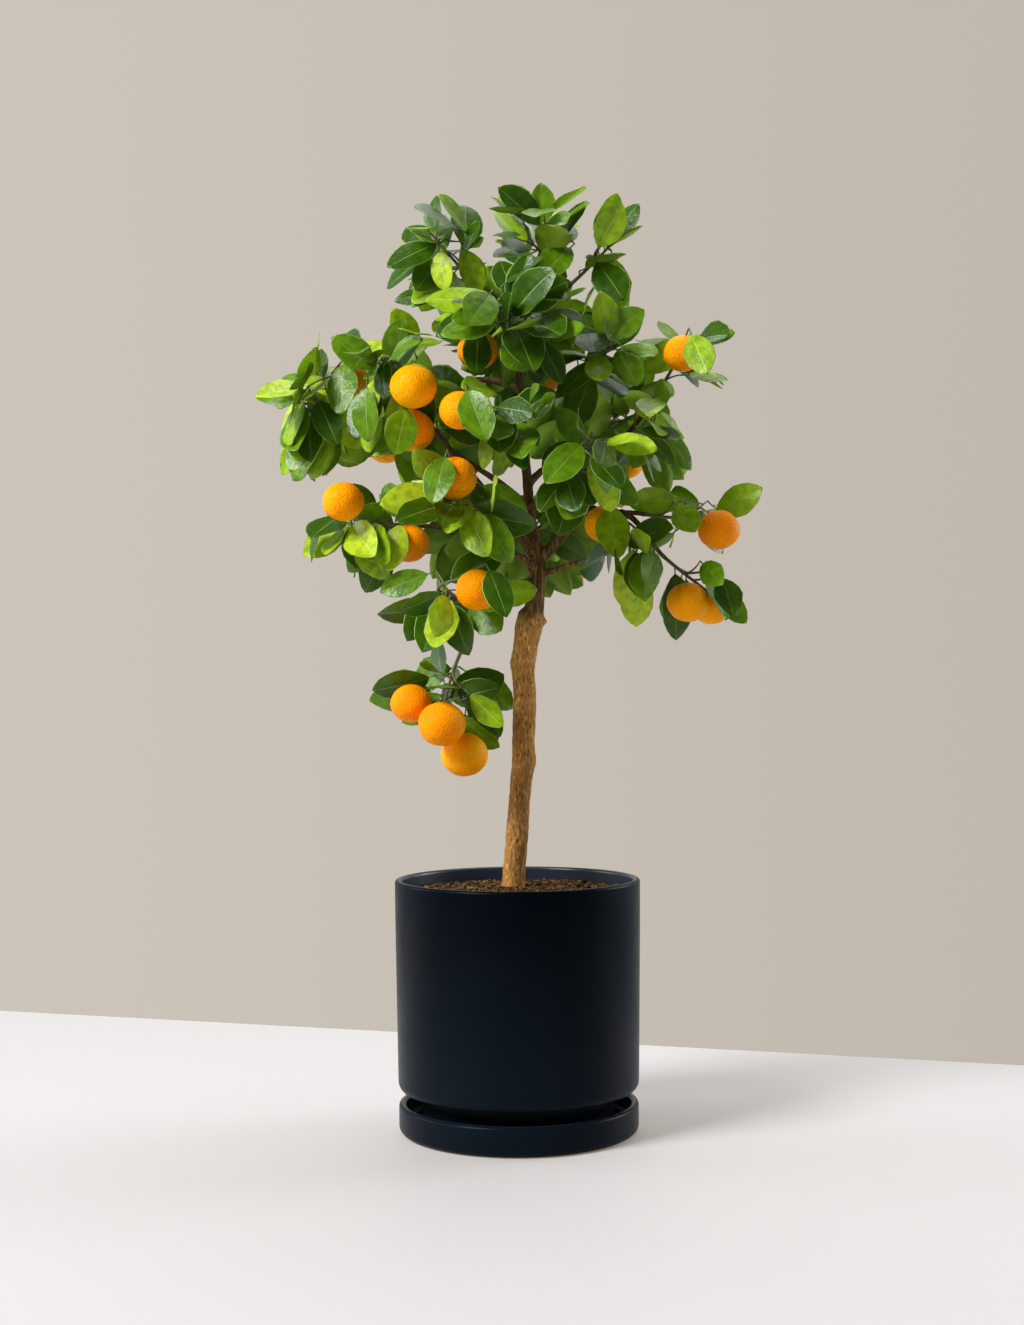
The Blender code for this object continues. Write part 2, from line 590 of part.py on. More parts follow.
    def grow_fruit(self, stem):
        """A stalk from the stem to the top of each fruit."""
        stalks = []
        for fruit in list(self.fruit):
            centre, radius = fruit[:3], fruit[3] / 2
            for along in STALK_PLACES:
                start, _ = point_along(stem, along)
                crown = unit(unit(start - centre) + np.array([0, 0, 0.8]))
                stalk = self.side_twig(stem, centre + crown * radius * 0.8, along,
                                       end=STALK_TIP, whole=True, spared=centre)
                if stalk is not None:
                    stalks.append(stalk)
                    break
            else:
                print(self.name, "leaves out a fruit at", centre)
                self.fruit = [f for f in self.fruit if f is not fruit]
        return stalks

    def grow_shoots(self, stem):
        """A twig for each named shoot, with a leaf that reaches the shoot's tip."""
        shoots = []
        for tip in self.plan["shoots"]:
            tip = np.array(tip, float)
            for along in SHOOT_PLACES:
                start, _ = point_along(stem, along)
                out = unit(tip - start)
                blade = LEAF_LENGTH * 0.85
                if np.linalg.norm(tip - start) < LEAF_LENGTH * 1.1:
                    leaf = Leaf(start, out, self.facing(tip), np.linalg.norm(tip - start))
                    if leaf.hits(self.balls, LIMB_CLEARANCE):
                        continue
                    self.leaves.append(leaf)
                    break
                twig = self.side_twig(stem, tip - out * blade, along, whole=True)
                if twig is not None:
                    self.leaves.append(Leaf(twig[-1] - out, out, self.facing(tip), blade + 1.0))
                    shoots.append(twig)
                    break
            else:
                print(self.name, "leaves out a shoot to", tip)
        return shoots

    def grow(self):
        stem = self.grow_stem()
        stalks = self.grow_fruit(stem)
        twigs = self.grow_shoots(stem)
        count = self.plan["twigs"]
        phase = self.random.uniform(0, 360)
        for k in range(count):
            height = 1 - 2 * (k + 0.5) / count
            turn = math.radians(phase + k * GOLDEN)
            ring = math.sqrt(1 - height * height)
            outward = np.array([ring * math.cos(turn), ring * math.sin(turn), height])
            inner = np.maximum(self.reach - TWIG_HELD_BACK * LEAF_LENGTH, 0.35 * self.reach)
            along = 0.25 + 0.75 * (k % TWIG_PLACES + 0.5) / TWIG_PLACES
            twig = self.side_twig(stem, self.middle + inner * outward, along, TWIG_LEAST)
            if twig is not None:
                twigs.append(twig)
        for twig in twigs:
            self.clothe(twig)
        self.clothe(stem)
        for stalk in stalks:
            self.clothe(stalk, tip_leaf=False)

    def solids(self):
        """The loose closed solids that the union joins."""
        parts = []
        for path, base, end in self.twigs:
            radii = np.linspace(base, end, len(path))
            radii[0] = min(radii[0], base * 0.7) if parts else base
            parts.append(tube("twig", path, 3, radii))
        parts += [self.leaf_solid(leaf) for leaf in self.leaves]
        parts += [self.fruit_solid(fruit) for fruit in self.fruit]
        return parts

    @staticmethod
    def leaf_solid(leaf):
        rim = [leaf.point(a, b) for a, b in Leaf.outline]
        half = LEAF_THICKNESS / 2
        vertices = rim + [leaf.point(0.42, 0, half), leaf.point(0.42, 0, -half)]
        count = len(rim)
        faces = [[count, (k + 1) % count, k] for k in range(count)]
        faces += [[count + 1, k, (k + 1) % count] for k in range(count)]
        return new_object("leaf", vertices, faces)

    @staticmethod
    def fruit_solid(fruit):
        ball = bmesh.new()
        bmesh.ops.create_uvsphere(ball, u_segments=8, v_segments=5, radius=fruit[3] / 2)
        mesh = bpy.data.meshes.new("fruit")
        for vertex in ball.verts:
            vertex.co.z *= FRUIT_FLATTEN
            vertex.co = [(c + o) * MM for c, o in zip(vertex.co, fruit[:3])]
        ball.to_mesh(mesh)
        ball.free()
        item = bpy.data.objects.new("fruit", mesh)
        bpy.context.scene.collection.objects.link(item)
        return item


def apply_modifier(item, modifier):
    bpy.context.view_layer.update()
    evaluated = item.evaluated_get(bpy.context.evaluated_depsgraph_get())
    mesh = bpy.data.meshes.new_from_object(evaluated)
    item.modifiers.remove(modifier)
    old = item.data
    item.data = mesh
    bpy.data.meshes.remove(old)


def keep_largest(item):
    """Drop loose scraps and fill sealed hollows: only the body with most corners stays."""
    work = bmesh.new()
    work.from_mesh(item.data)
    unseen = set(work.verts)
    groups = []
    while unseen:
        group, queue = set(), [unseen.pop()]
        while queue:
            vertex = queue.pop()
            group.add(vertex)
            for edge in vertex.link_edges:
                other = edge.other_vert(vertex)
                if other in unseen:
                    unseen.discard(other)
                    queue.append(other)
        groups.append(group)
    groups.sort(key=len)
    for group in groups[:-1]:
        bmesh.ops.delete(work, geom=list(group), context="VERTS")
    work.to_mesh(item.data)
    work.free()
    return len(groups)


def make_mass(name, limbs, fruit, material):
    mass = Mass(name, limbs, fruit)
    mass.grow()
    parts = mass.solids()
    item = parts[0]
    others = bpy.data.collections.new(name)
    for part in parts[1:]:
        bpy.context.scene.collection.objects.unlink(part)
        others.objects.link(part)
    bpy.context.scene.collection.children.link(others)
    join = item.modifiers.new("join", "BOOLEAN")
    join.operation = "UNION"
    join.operand_type = "COLLECTION"
    join.collection = others
    join.solver = "MANIFOLD"
    apply_modifier(item, join)
    for part in list(others.objects):
        bpy.data.objects.remove(part, do_unlink=True)
    bpy.data.collections.remove(others)
    bodies = keep_largest(item)
    item.name = name + "_foliage"
    item.data.materials.clear()
    item.data.materials.append(material)
    item.data.calc_loop_triangles()
    print(name, "leaves", len(mass.leaves), "twigs", len(mass.twigs), "fruit", len(mass.fruit),
          "triangles", len(item.data.loop_triangles), "bodies", bodies)
    return item


def build():
    for item in list(bpy.data.objects):
        bpy.data.objects.remove(item, do_unlink=True)
    glaze = finish_material("dark_glaze", (0.010, 0.014, 0.020), 0.42)
    earth = finish_material("potting_soil", (0.060, 0.035, 0.022), 0.95)
    bark = finish_material("bark", (0.270, 0.150, 0.070), 0.80)
    green = finish_material("foliage", (0.060, 0.130, 0.025), 0.40)
    make_pot(glaze)
    make_saucer(glaze)
    make_soil(earth)
    limbs = all_limbs()
    tube("trunk", limbs["trunk"].path, TRUNK_SIDES, limbs["trunk"].radii, bark, lean=UPRIGHT)
    tube("leader", limbs["leader"].path, LEADER_SIDES, limbs["leader"].radii, bark,
         lean=unit(limbs["trunk"].path[-1] - limbs["trunk"].path[-2]))
    for name in BOUGHS:
        make_bough(name, limbs, bark)
    fruit = np.array([(*f[:3], f[3] / 2) for mass in MASSES.values() for f in mass["fruit"]])
    for name in MASSES:
        make_mass(name, limbs, fruit, green)


build()
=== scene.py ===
# Calamondin orange tree in a dark ceramic cylinder pot with its saucer.
# Tables and growth are in millimetres, meshes in metres, +Z up; the photo looks along +Y.
import math

import bpy
import numpy as np
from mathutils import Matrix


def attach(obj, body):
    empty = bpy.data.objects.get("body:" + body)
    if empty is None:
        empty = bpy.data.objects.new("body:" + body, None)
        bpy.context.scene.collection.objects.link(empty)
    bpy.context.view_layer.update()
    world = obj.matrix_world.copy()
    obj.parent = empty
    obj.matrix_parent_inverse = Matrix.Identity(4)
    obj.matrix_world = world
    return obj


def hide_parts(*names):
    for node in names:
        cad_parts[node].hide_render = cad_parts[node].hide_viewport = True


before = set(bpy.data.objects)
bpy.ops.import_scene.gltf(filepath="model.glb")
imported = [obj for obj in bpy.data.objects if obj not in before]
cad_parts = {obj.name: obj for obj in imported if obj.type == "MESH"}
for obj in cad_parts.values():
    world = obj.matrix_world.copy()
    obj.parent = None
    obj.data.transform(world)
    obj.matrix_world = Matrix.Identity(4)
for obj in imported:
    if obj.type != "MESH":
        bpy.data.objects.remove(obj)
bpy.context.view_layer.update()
mm = 0.001
golden = 137.5           # degrees from one leaf or twig to the next round its stem
solidGap = 0.3           # clearance between neighbouring solids, as in the CAD
upward = np.array([0.0, 0.0, 1.0])


# Shader nodes written as expressions.
class Wire:
    # one output of a node; arithmetic between wires and numbers adds Math nodes
    def __init__(self, graph, socket):
        self.graph = graph
        self.socket = socket

    def math(self, operation, *values):
        return self.graph.node("ShaderNodeMath", {"operation": operation},
                               dict(enumerate((self,) + values)))

    def __add__(self, other):
        return self.math("ADD", other)

    def __radd__(self, other):
        return self.math("ADD", other)

    def __sub__(self, other):
        return self.math("SUBTRACT", other)

    def __rsub__(self, other):
        return self.math("MULTIPLY_ADD", -1.0, other)

    def __mul__(self, other):
        return self.math("MULTIPLY", other)

    def step(self, low, high):
        # 0 below low, 1 above high, eased between
        return self.graph.node("ShaderNodeMapRange", {"interpolation_type": "SMOOTHSTEP"},
                               {"Value": self, "From Min": low, "From Max": high})


class Graph:
    # the node tree of a material or of the world
    def __init__(self, tree):
        self.tree = tree

    def feed(self, socket, value):
        if isinstance(value, Wire):
            self.tree.links.new(value.socket, socket)
        else:
            socket.default_value = value

    def node(self, kind, settings, values, output=0):
        # settings first, then the values or wires of its sockets
        item = self.tree.nodes.new(kind)
        for key, value in settings.items():
            setattr(item, key, value)
        for key, value in values.items():
            self.feed(item.inputs[key], value)
        return Wire(self, item.outputs[output])

    def blend(self, amount, first, second):
        first = (*first, 1.0) if isinstance(first, tuple) else first
        second = (*second, 1.0) if isinstance(second, tuple) else second
        return self.node("ShaderNodeMix", {"data_type": "RGBA"}, {0: amount, 6: first, 7: second}, 2)


class Finish(Graph):
    # one material, built up round its Principled shader
    def __init__(self, name, **values):
        self.material = bpy.data.materials.new(name)
        self.material.use_nodes = True
        super().__init__(self.material.node_tree)
        self.shader = self.tree.nodes["Principled BSDF"]
        self.set(**values)

    def set(self, **values):
        for key, value in values.items():
            socket = self.shader.inputs[key.replace("_", " ")]
            self.feed(socket, (*value, 1.0) if isinstance(value, tuple) else value)

    def place(self, scale=(1.0, 1.0, 1.0)):
        # object coordinates, stretched by scale
        at = self.node("ShaderNodeTexCoord", {}, {}, "Object")
        return self.node("ShaderNodeMapping", {}, {"Vector": at, "Scale": scale})

    def height(self):
        # how high above the table a point is, in metres
        return self.node("ShaderNodeSeparateXYZ", {}, {"Vector": self.place()}, "Z")

    def noise(self, scale, detail=3.0, stretch=(1.0, 1.0, 1.0), roughness=0.5):
        return self.node("ShaderNodeTexNoise", {}, {"Vector": self.place(stretch), "Scale": scale,
                                                    "Detail": detail, "Roughness": roughness})

    def cells(self, scale):
        return self.node("ShaderNodeTexVoronoi", {}, {"Vector": self.place(), "Scale": scale})

    def relief(self, height, strength, depth):
        self.set(Normal=self.node("ShaderNodeBump", {}, {"Height": height, "Strength": strength,
                                                         "Distance": depth}))
        return self

    def glowThrough(self, colour, share):
        # part of the light passes through, as in a thin leaf
        thin = self.node("ShaderNodeBsdfTranslucent", {}, {"Color": (*colour, 1.0)})
        both = self.node("ShaderNodeMixShader", {}, {0: share, 1: Wire(self, self.shader.outputs[0]),
                                                     2: thin})
        self.tree.links.new(both.socket, self.tree.nodes["Material Output"].inputs["Surface"])
        return self


# Surfaces worked out as arrays.
def gridFaces(rows, columns):
    # quads between each ring of points and the next, all the way round
    index = np.arange(rows * columns).reshape(rows, columns)
    right = np.roll(index, -1, axis=1)
    return np.stack([index[:-1], right[:-1], right[1:], index[1:]], axis=-1).reshape(-1, 4)


def makePiece(name, points, faces, finishes, kinds=None, sharp=None):
    # points in millimetres become one smooth mesh that rides with the plant
    mesh = bpy.data.meshes.new(name)
    mesh.from_pydata((np.asarray(points) * mm).tolist(), [], faces)
    for finish in finishes:
        mesh.materials.append(finish.material)
    if kinds is not None:
        mesh.polygons.foreach_set("material_index", np.asarray(kinds, dtype=np.int32))
    mesh.shade_smooth()
    if sharp is not None:
        mesh.set_sharp_from_angle(angle=math.radians(sharp))
    mesh.update()
    item = bpy.data.objects.new(name, mesh)
    bpy.context.scene.collection.objects.link(item)
    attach(item, "root")
    return item


def turnedSurface(profile, segments):
    # each profile point of radius and height goes once round Z; the ends are poles on the axis
    profile = np.asarray(profile, float)
    angle = np.arange(segments) * 2 * math.pi / segments
    ring = np.stack([np.cos(angle), np.sin(angle), np.zeros(segments)], axis=1)
    points = profile[1:-1, None, :1] * ring + profile[1:-1, None, 1:] * upward
    points = np.vstack([points.reshape(-1, 3), [[0, 0, profile[0, 1]], [0, 0, profile[-1, 1]]]])
    rows = len(profile) - 2
    faces = gridFaces(rows, segments).tolist()
    first, last = len(points) - 2, len(points) - 1
    top = (rows - 1) * segments
    around = [(k, (k + 1) % segments) for k in range(segments)]
    faces += [[first, n, k] for k, n in around]
    faces += [[last, top + k, top + n] for k, n in around]
    return points, faces


def arc(middle, radius, start, end, count):
    # points of a circle's arc in the profile plane, in degrees from the outward direction
    angle = np.radians(np.linspace(start, end, count))
    return np.stack([middle[0] + radius * np.cos(angle), middle[1] + radius * np.sin(angle)], 1)


def ballAngles(rows, columns):
    # from the pole and round the axis, for a ball's rows of points between its poles
    polar = np.linspace(0, math.pi, rows + 2)[1:-1, None]
    return polar, (np.arange(columns) * 2 * math.pi / columns)[None]


def patchNoise(luck, rows, columns, rowCells, columnCells):
    # smooth random relief: a coarse lattice of random heights, eased between its points,
    # and the same at both ends of a row
    lattice = luck.uniform(-1, 1, (rowCells + 1, columnCells))
    down = np.linspace(0, rowCells - 1e-6, rows)
    along = np.arange(columns) * columnCells / columns
    i, j = down.astype(int), along.astype(int)
    u, v = (down - i)[:, None], (along - j)[None, :]
    u, v = u * u * (3 - 2 * u), v * v * (3 - 2 * v)
    i, j, n = i[:, None], j[None, :], ((j + 1) % columnCells)[None, :]
    return ((lattice[i, j] * (1 - v) + lattice[i, n] * v) * (1 - u)
            + (lattice[i + 1, j] * (1 - v) + lattice[i + 1, n] * v) * u)


def unit(vector):
    # the same direction with length 1
    return vector / np.linalg.norm(vector, axis=-1, keepdims=True)


def roundAbout(heading, turn):
    # directions square to a heading, at so many degrees round it
    side = unit(np.cross(heading, (0.31, 0.22, 0.93)))
    spin = np.radians(turn)[..., None]
    return np.cos(spin) * side + np.sin(spin) * np.cross(heading, side)


def bezier(points, count):
    # Bezier curve through the first and last of its control points
    t = np.linspace(0, 1, count)[:, None]
    n = len(points) - 1
    return sum(math.comb(n, k) * (1 - t) ** (n - k) * t ** k * np.array(p, float)
               for k, p in enumerate(points))


def runOf(path):
    # how far along the path each of its points is
    return np.concatenate([[0.0], np.cumsum(np.linalg.norm(np.diff(path, axis=0), axis=1))])


def pointAlong(path, fraction):
    # the point at a fraction of the path's length, and the direction there
    run = runOf(path)
    k = min(int(np.searchsorted(run, fraction * run[-1], side="right")) - 1, len(path) - 2)
    step = path[k + 1] - path[k]
    return path[k] + step * (fraction * run[-1] - run[k]) / (run[k + 1] - run[k]), unit(step)


def evenPath(path, spacing):
    # the same path with its points about one spacing apart
    run = runOf(path)
    at = np.linspace(0, run[-1], max(2, int(round(run[-1] / spacing)) + 1))
    return np.stack([np.interp(at, run, path[:, k]) for k in range(3)], axis=1)


def eased(values, passes):
    # each value moves to the mean of itself and its neighbours, the ends stay
    values = np.array(values, float)
    for _ in range(passes):
        values[1:-1] = (values[:-2] + 2 * values[1:-1] + values[2:]) / 4
    return values


def tubeRings(path, radii, sides, relief=0.0):
    # a profile circle carried along the path without twist; relief adds to its radius
    path = np.asarray(path, float)
    steps = np.diff(path, axis=0)
    tangents = unit(np.vstack([steps[:1], steps[:-1] + steps[1:], steps[-1:]]))
    side = np.cross(tangents[0], (0.0, 1.0, 0.0))
    if np.linalg.norm(side) < 0.1:
        side = np.cross(tangents[0], (1.0, 0.0, 0.0))
    sides1, sides2 = [], []
    for tangent in tangents:
        side = unit(side - tangent * np.dot(side, tangent))
        sides1.append(side)
        sides2.append(np.cross(tangent, side))
    angle = np.arange(sides) * 2 * math.pi / sides
    spokes = (np.cos(angle)[None, :, None] * np.array(sides1)[:, None]
              + np.sin(angle)[None, :, None] * np.array(sides2)[:, None])
    reach = np.asarray(radii, float)[:, None] + relief
    return path[:, None] + reach[..., None] * spokes


class Joined:
    # many small closed shapes gathered into one piece
    def __init__(self):
        self.points = []
        self.faces = []
        self.kinds = []
        self.count = 0

    def add(self, points, faces, kind=0):
        self.points.append(np.asarray(points).reshape(-1, 3))
        self.faces += [[c + self.count for c in face] for face in faces]
        self.kinds += [kind] * len(faces)
        self.count += len(self.points[-1])

    def addRings(self, rings, kind=0):
        # a tube through rings of points, closed at both ends
        rows, sides = rings.shape[:2]
        faces = gridFaces(rows, sides).tolist()
        faces.append(list(range(sides))[::-1])
        faces.append([(rows - 1) * sides + k for k in range(sides)])
        self.add(rings, faces, kind)

    def addTube(self, path, radii, sides, kind=0, relief=0.0):
        self.addRings(tubeRings(path, radii, sides, relief), kind)

    def piece(self, name, finishes, sharp=None):
        return makePiece(name, np.vstack(self.points), self.faces, finishes, self.kinds, sharp)


# Pot and saucer.
pot = {
    "radius": 105.0, "taper": 2.0, "height": 215.0, "underside": 35.0, "corner": 9.0,
    "wall": 6.0, "floor": 9.0, "footRadius": 82.0, "footWall": 9.0, "footCorner": 1.5,
    "rimFlat": 0.4, "insideCorner": 6.0, "segments": 160,
    # the taper starts this far below the rim, already so much slimmer
    "taperFrom": 40.0, "taperStart": 0.3,
    # the second colour paints the glaze lighter towards the bottom, a painted reflection of the floor
    "colour": (0.0006, 0.0014, 0.0030), "floorReflectionColour": (0.0040, 0.0075, 0.0125), "gloss": 0.34,
    # inside: a lighter glaze, painted light on the inner wall and a painted highlight along the lips of
    # pot and saucer
    "shine": 0.066, "sheen": (0.60, 0.80, 1.0), "inside": (0.016, 0.026, 0.038),
}
saucer = {"radius": 102.5, "base": 96.0, "height": 25.5, "floor": 8.0, "wall": 6.5,
          "insideCorner": 5.0}


def glazeFinish():
    # satin navy glaze: a little cloudy, with fine pits, and lighter towards the bottom as a painted
    # reflection of the floor
    glaze = Finish("navyGlaze", Metallic=0.0, Specular_IOR_Level=pot["shine"],
                   Specular_Tint=pot["sheen"])
    cloud = glaze.noise(14.0, 4.0)
    # painted reflection of the floor: lighter towards the bottom, mixed with the random clouding
    low = 1.0 - glaze.height().step(0.03, 0.20)
    colour = glaze.blend(low * 0.75 + (cloud - 0.5) * 0.5, pot["colour"], pot["floorReflectionColour"])
    glaze.set(Base_Color=colour, Roughness=pot["gloss"] + (glaze.noise(60.0) - 0.5) * 0.16)
    # the lighter glaze of the inside and lips: painted light on the inner wall and a painted highlight
    # along the lips
    lip = Finish("navyGlazePaintedLight", Base_Color=pot["inside"], Roughness=0.30,
                 Specular_IOR_Level=0.40)
    return glaze.relief(glaze.noise(900.0, 2.0), 0.10, 0.0006), lip


def makePot(glazes):
    # the profile runs from under the pot out over its foot ring, up the wall and down inside
    p = pot
    bottom, top, inside = p["radius"] - p["taper"], p["height"], p["radius"] - p["wall"]
    deep = p["underside"] + p["floor"]
    lip = p["wall"] / 2 - p["rimFlat"]
    seat = saucer["floor"] + solidGap
    turn, corner = p["footCorner"], p["insideCorner"]
    low, slim = top - p["taperFrom"], p["taperStart"]
    profile = np.vstack([
        [(0, p["underside"]), (p["footRadius"] - p["footWall"], p["underside"])],
        arc((p["footRadius"] - p["footWall"] + turn, seat + turn), turn, 180, 270, 5),
        arc((p["footRadius"] - turn, seat + turn), turn, -90, 0, 5),
        [(p["footRadius"], p["underside"])],
        arc((bottom - p["corner"], p["underside"] + p["corner"]), p["corner"], -90, 0, 12),
        [(p["radius"] - slim, low)],
        arc((p["radius"] - lip, top - lip), lip, 0, 90, 7),
        arc((inside + lip, top - lip), lip, 90, 180, 7),
        [(inside - slim, low), (bottom - p["wall"], deep + corner)],
        arc((bottom - p["wall"] - corner, deep + corner), corner, 0, -90, 6),
        [(0, deep)]])
    points, faces = turnedSurface(profile, p["segments"])
    # the inside wall and the lip take the lighter glaze: painted light and a painted highlight
    kinds = glazedInside(points, faces, inside + lip + 0.5, deep)
    item = makePiece("potShell", points, faces, glazes, kinds, sharp=38)
    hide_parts("pot")


def glazedInside(points, faces, radius, low):
    # true for the faces within the rim and above a height inside, which have the other glaze, lighter
    # as painted light on the inner wall and a painted highlight along the lip
    middles = np.array([points[face].mean(axis=0) for face in faces])
    return (np.hypot(middles[:, 0], middles[:, 1]) < radius) & (middles[:, 2] > low - 0.1)


def makeSaucer(glazes):
    # the profile runs from under the dish out round its edge and lip, and in over its floor
    s = saucer
    edge, corner = s["radius"] - s["base"], s["insideCorner"]
    lip = s["wall"] / 2
    profile = np.vstack([
        [(0, 0), (s["base"] - 14, 0)],
        arc((s["base"], edge), edge, -90, 0, 9),
        arc((s["radius"] - lip, s["height"] - lip), lip, 0, 180, 13),
        arc((s["radius"] - s["wall"] - corner, s["floor"] + corner), corner, 0, -90, 7),
        [(0, s["floor"])]])
    points, faces = turnedSurface(profile, pot["segments"])
    # the saucer's lip takes the lighter glaze as a painted highlight
    kinds = glazedInside(points, faces, s["radius"] - lip + 0.5, s["height"] - 3.0)
    item = makePiece("saucerDish", points, faces, glazes, kinds, sharp=38)
    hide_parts("saucer")


# Soil with wood chips.
soil = {
    "top": 205.0, "rings": 46, "segments": 120, "bumps": 2.6, "chips": 420, "grains": 900,
    # half-sizes from and to, heights over the bed, and the room left at the wall and the trunk
    "chipSizes": ((1.6, 0.9, 0.5), (5.2, 2.4, 1.3)), "grainSizes": (0.5, 1.4),
    "chipHeights": (-0.4, 1.8), "wallRoom": 7.0, "trunkRoom": 12.5,
    # the bed falls by this times the square of the distance from its middle
    "fall": 0.0003,
    "dark": (0.018, 0.010, 0.004), "light": (0.108, 0.057, 0.019), "shine": 0.15,
    "chipColours": [(0.118, 0.062, 0.018), (0.200, 0.055, 0.018), (0.180, 0.140, 0.024),
                    (0.028, 0.014, 0.005)],
    "chipShares": (0.36, 0.12, 0.12, 0.40),
}


def soilFinish():
    earth = Finish("pottingSoil", Metallic=0.0, Roughness=0.95, Specular_IOR_Level=soil["shine"])
    crumbs = earth.noise(260.0, 5.0).step(0.38, 0.66)
    earth.set(Base_Color=earth.blend(crumbs, soil["dark"], soil["light"]))
    return earth.relief(earth.noise(420.0, 4.0), 0.6, 0.002)


def makeSoil():
    # the bed is a flat disc plus coarse and fine bumps, less the fall towards the wall; chips
    # and grains are bent boxes that lie on it at random
    luck = np.random.RandomState(5)
    deep = pot["underside"] + pot["floor"] + solidGap
    wall = pot["radius"] - pot["wall"] - 0.4
    bottom = wall - pot["taper"]
    spread = np.linspace(0, 1, soil["rings"])[1:]
    profile = [(0, soil["top"])] + [(wall * t, soil["top"]) for t in spread]
    profile += [(bottom, deep + 1), (bottom - 1, deep), (0, deep)]
    points, faces = turnedSurface(profile[::-1], soil["segments"])
    rings = len(profile) - 2
    bumps = (patchNoise(luck, rings, soil["segments"], 16, 40)
             + 0.7 * patchNoise(luck, rings, soil["segments"], 30, 90)).reshape(-1)
    surface = points[:len(bumps), 2] > soil["top"] - 0.1
    rim = np.hypot(points[:len(bumps), 0], points[:len(bumps), 1])
    points[:len(bumps), 2] += np.where(surface, soil["bumps"] * bumps - soil["fall"] * rim ** 2, 0)
    item = makePiece("soilBed", points, faces, [soilFinish()])
    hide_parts("soil")

    chips = Joined()
    cube = np.array([(x, y, z) for x in (-1, 1) for y in (-1, 1) for z in (-1, 1)], float)
    sides = [[0, 1, 3, 2], [4, 6, 7, 5], [0, 4, 5, 1], [2, 3, 7, 6], [0, 2, 6, 4], [1, 5, 7, 3]]
    for k in range(soil["chips"] + soil["grains"]):
        if k < soil["chips"]:
            half = luck.uniform(*soil["chipSizes"])
        else:
            half = luck.uniform(*soil["grainSizes"], 3)
        turn = luck.uniform(0, 2 * math.pi)
        tilt = luck.uniform(-0.45, 0.45, 2)
        place = luck.uniform(0, 1) ** 0.5 * (wall - soil["wallRoom"])
        angle = luck.uniform(0, 2 * math.pi)
        ahead = unit(np.array([math.cos(turn), math.sin(turn), tilt[0]]))
        across = unit(np.cross((tilt[1], 0.0, 1.0), ahead))
        over = np.cross(ahead, across)
        shape = cube * half * luck.uniform(0.72, 1.0, (8, 3))
        at = np.array([place * math.cos(angle), place * math.sin(angle),
                       soil["top"] + luck.uniform(*soil["chipHeights"]) - soil["fall"] * place ** 2])
        if np.linalg.norm(at[:2] - wood["trunk"][0][1:3]) < soil["trunkRoom"]:
            continue
        chips.add(at + shape @ np.array([ahead, across, over]), sides,
                  luck.choice(4, p=soil["chipShares"]))
    tints = [Finish("woodChip%d" % k, Base_Color=c, Roughness=0.85, Specular_IOR_Level=soil["shine"])
             for k, c in enumerate(soil["chipColours"])]
    chips.piece("soilChips", tints, sharp=30)


# Trunk, leader and boughs.
wood = {
    # height, X, Y and radius, from the flat cut on the soil to just above the fork
    "trunk": [
        (205.3, -3.8, 12.0, 10.6), (212, -3.2, 12.0, 9.7), (231, -1.6, 11.8, 9.4),
        (254, 0.3, 11.4, 9.7), (277, 2.2, 11.0, 9.1), (299, 3.8, 10.7, 9.5),
        (315, 6.6, 10.4, 10.1), (332, 6.2, 10.1, 9.6), (376, 7.6, 9.6, 9.9),
        (388, 6.5, 9.4, 9.8), (398, 6.0, 9.2, 10.5), (418, 9.0, 8.8, 10.9),
        (431, 11.4, 8.6, 11.9), (437, 12.6, 8.5, 11.4), (446, 14.8, 8.3, 9.6),
        (460, 17.4, 8.0, 8.2), (480, 20.6, 7.6, 6.9), (498, 18.6, 7.2, 6.3),
        (512, 15.2, 7.0, 5.6)],
    "leader": [
        (527, 13.0, 6.8, 4.8), (545, 12.0, 6.5, 4.4), (578, 9.4, 6.0, 3.9),
        (608, 7.4, 6.0, 3.6), (640, 5.2, 6.0, 3.3), (670, 4.0, 5.0, 2.9), (700, 8.0, 3.0, 2.3),
        (714, 12.0, 2.5, 2.1)],
    "leaderBase": 5.3, "boughTip": 1.9, "boughPoints": 24, "boughSides": 14,
    # how far a bough's bends reach at its fork and tip, how much of its first direction it keeps
    # at the tip, and how far from its mass's middle it may end
    "bends": (0.38, 0.30), "arrival": 0.35, "depths": (0.70, 0.60, 0.50, 0.40, 0.30, 0.20),
    "collar": (0.35, 9.0),   # how much thicker a bough starts, and over what length
    "sides": 96, "step": 1.2, "fissure": 0.34, "lumps": 0.30, "boughLumps": 0.30,
    # graft knob, healed knots and the small hole: height, bearing, how far out, spread
    "knots": [(438.5, 12, 3.4, 3.6), (441.0, -150, 1.6, 4.5), (399.0, 186, 0.9, 5.0),
              (315.0, -4, 0.7, 5.0), (434.0, -95, 0.9, 6.0), (470.0, 165, 1.0, 4.0),
              (246.5, -82, -1.9, 1.3), (246.5, -82, 0.7, 4.2), (450.0, 178, -3.0, 6.5)],
    # middle of the small hole in metres, filled with near-black painted shade
    "hole": (0.0016, 0.0018, 0.2465),
    "ridge": (0.460, 0.218, 0.056), "furrow": (0.140, 0.058, 0.017),
    "tan": (0.840, 0.475, 0.130), "moss": (0.180, 0.115, 0.036), "upper": (0.050, 0.031, 0.015),
    "upperStreak": (0.215, 0.135, 0.050),
}
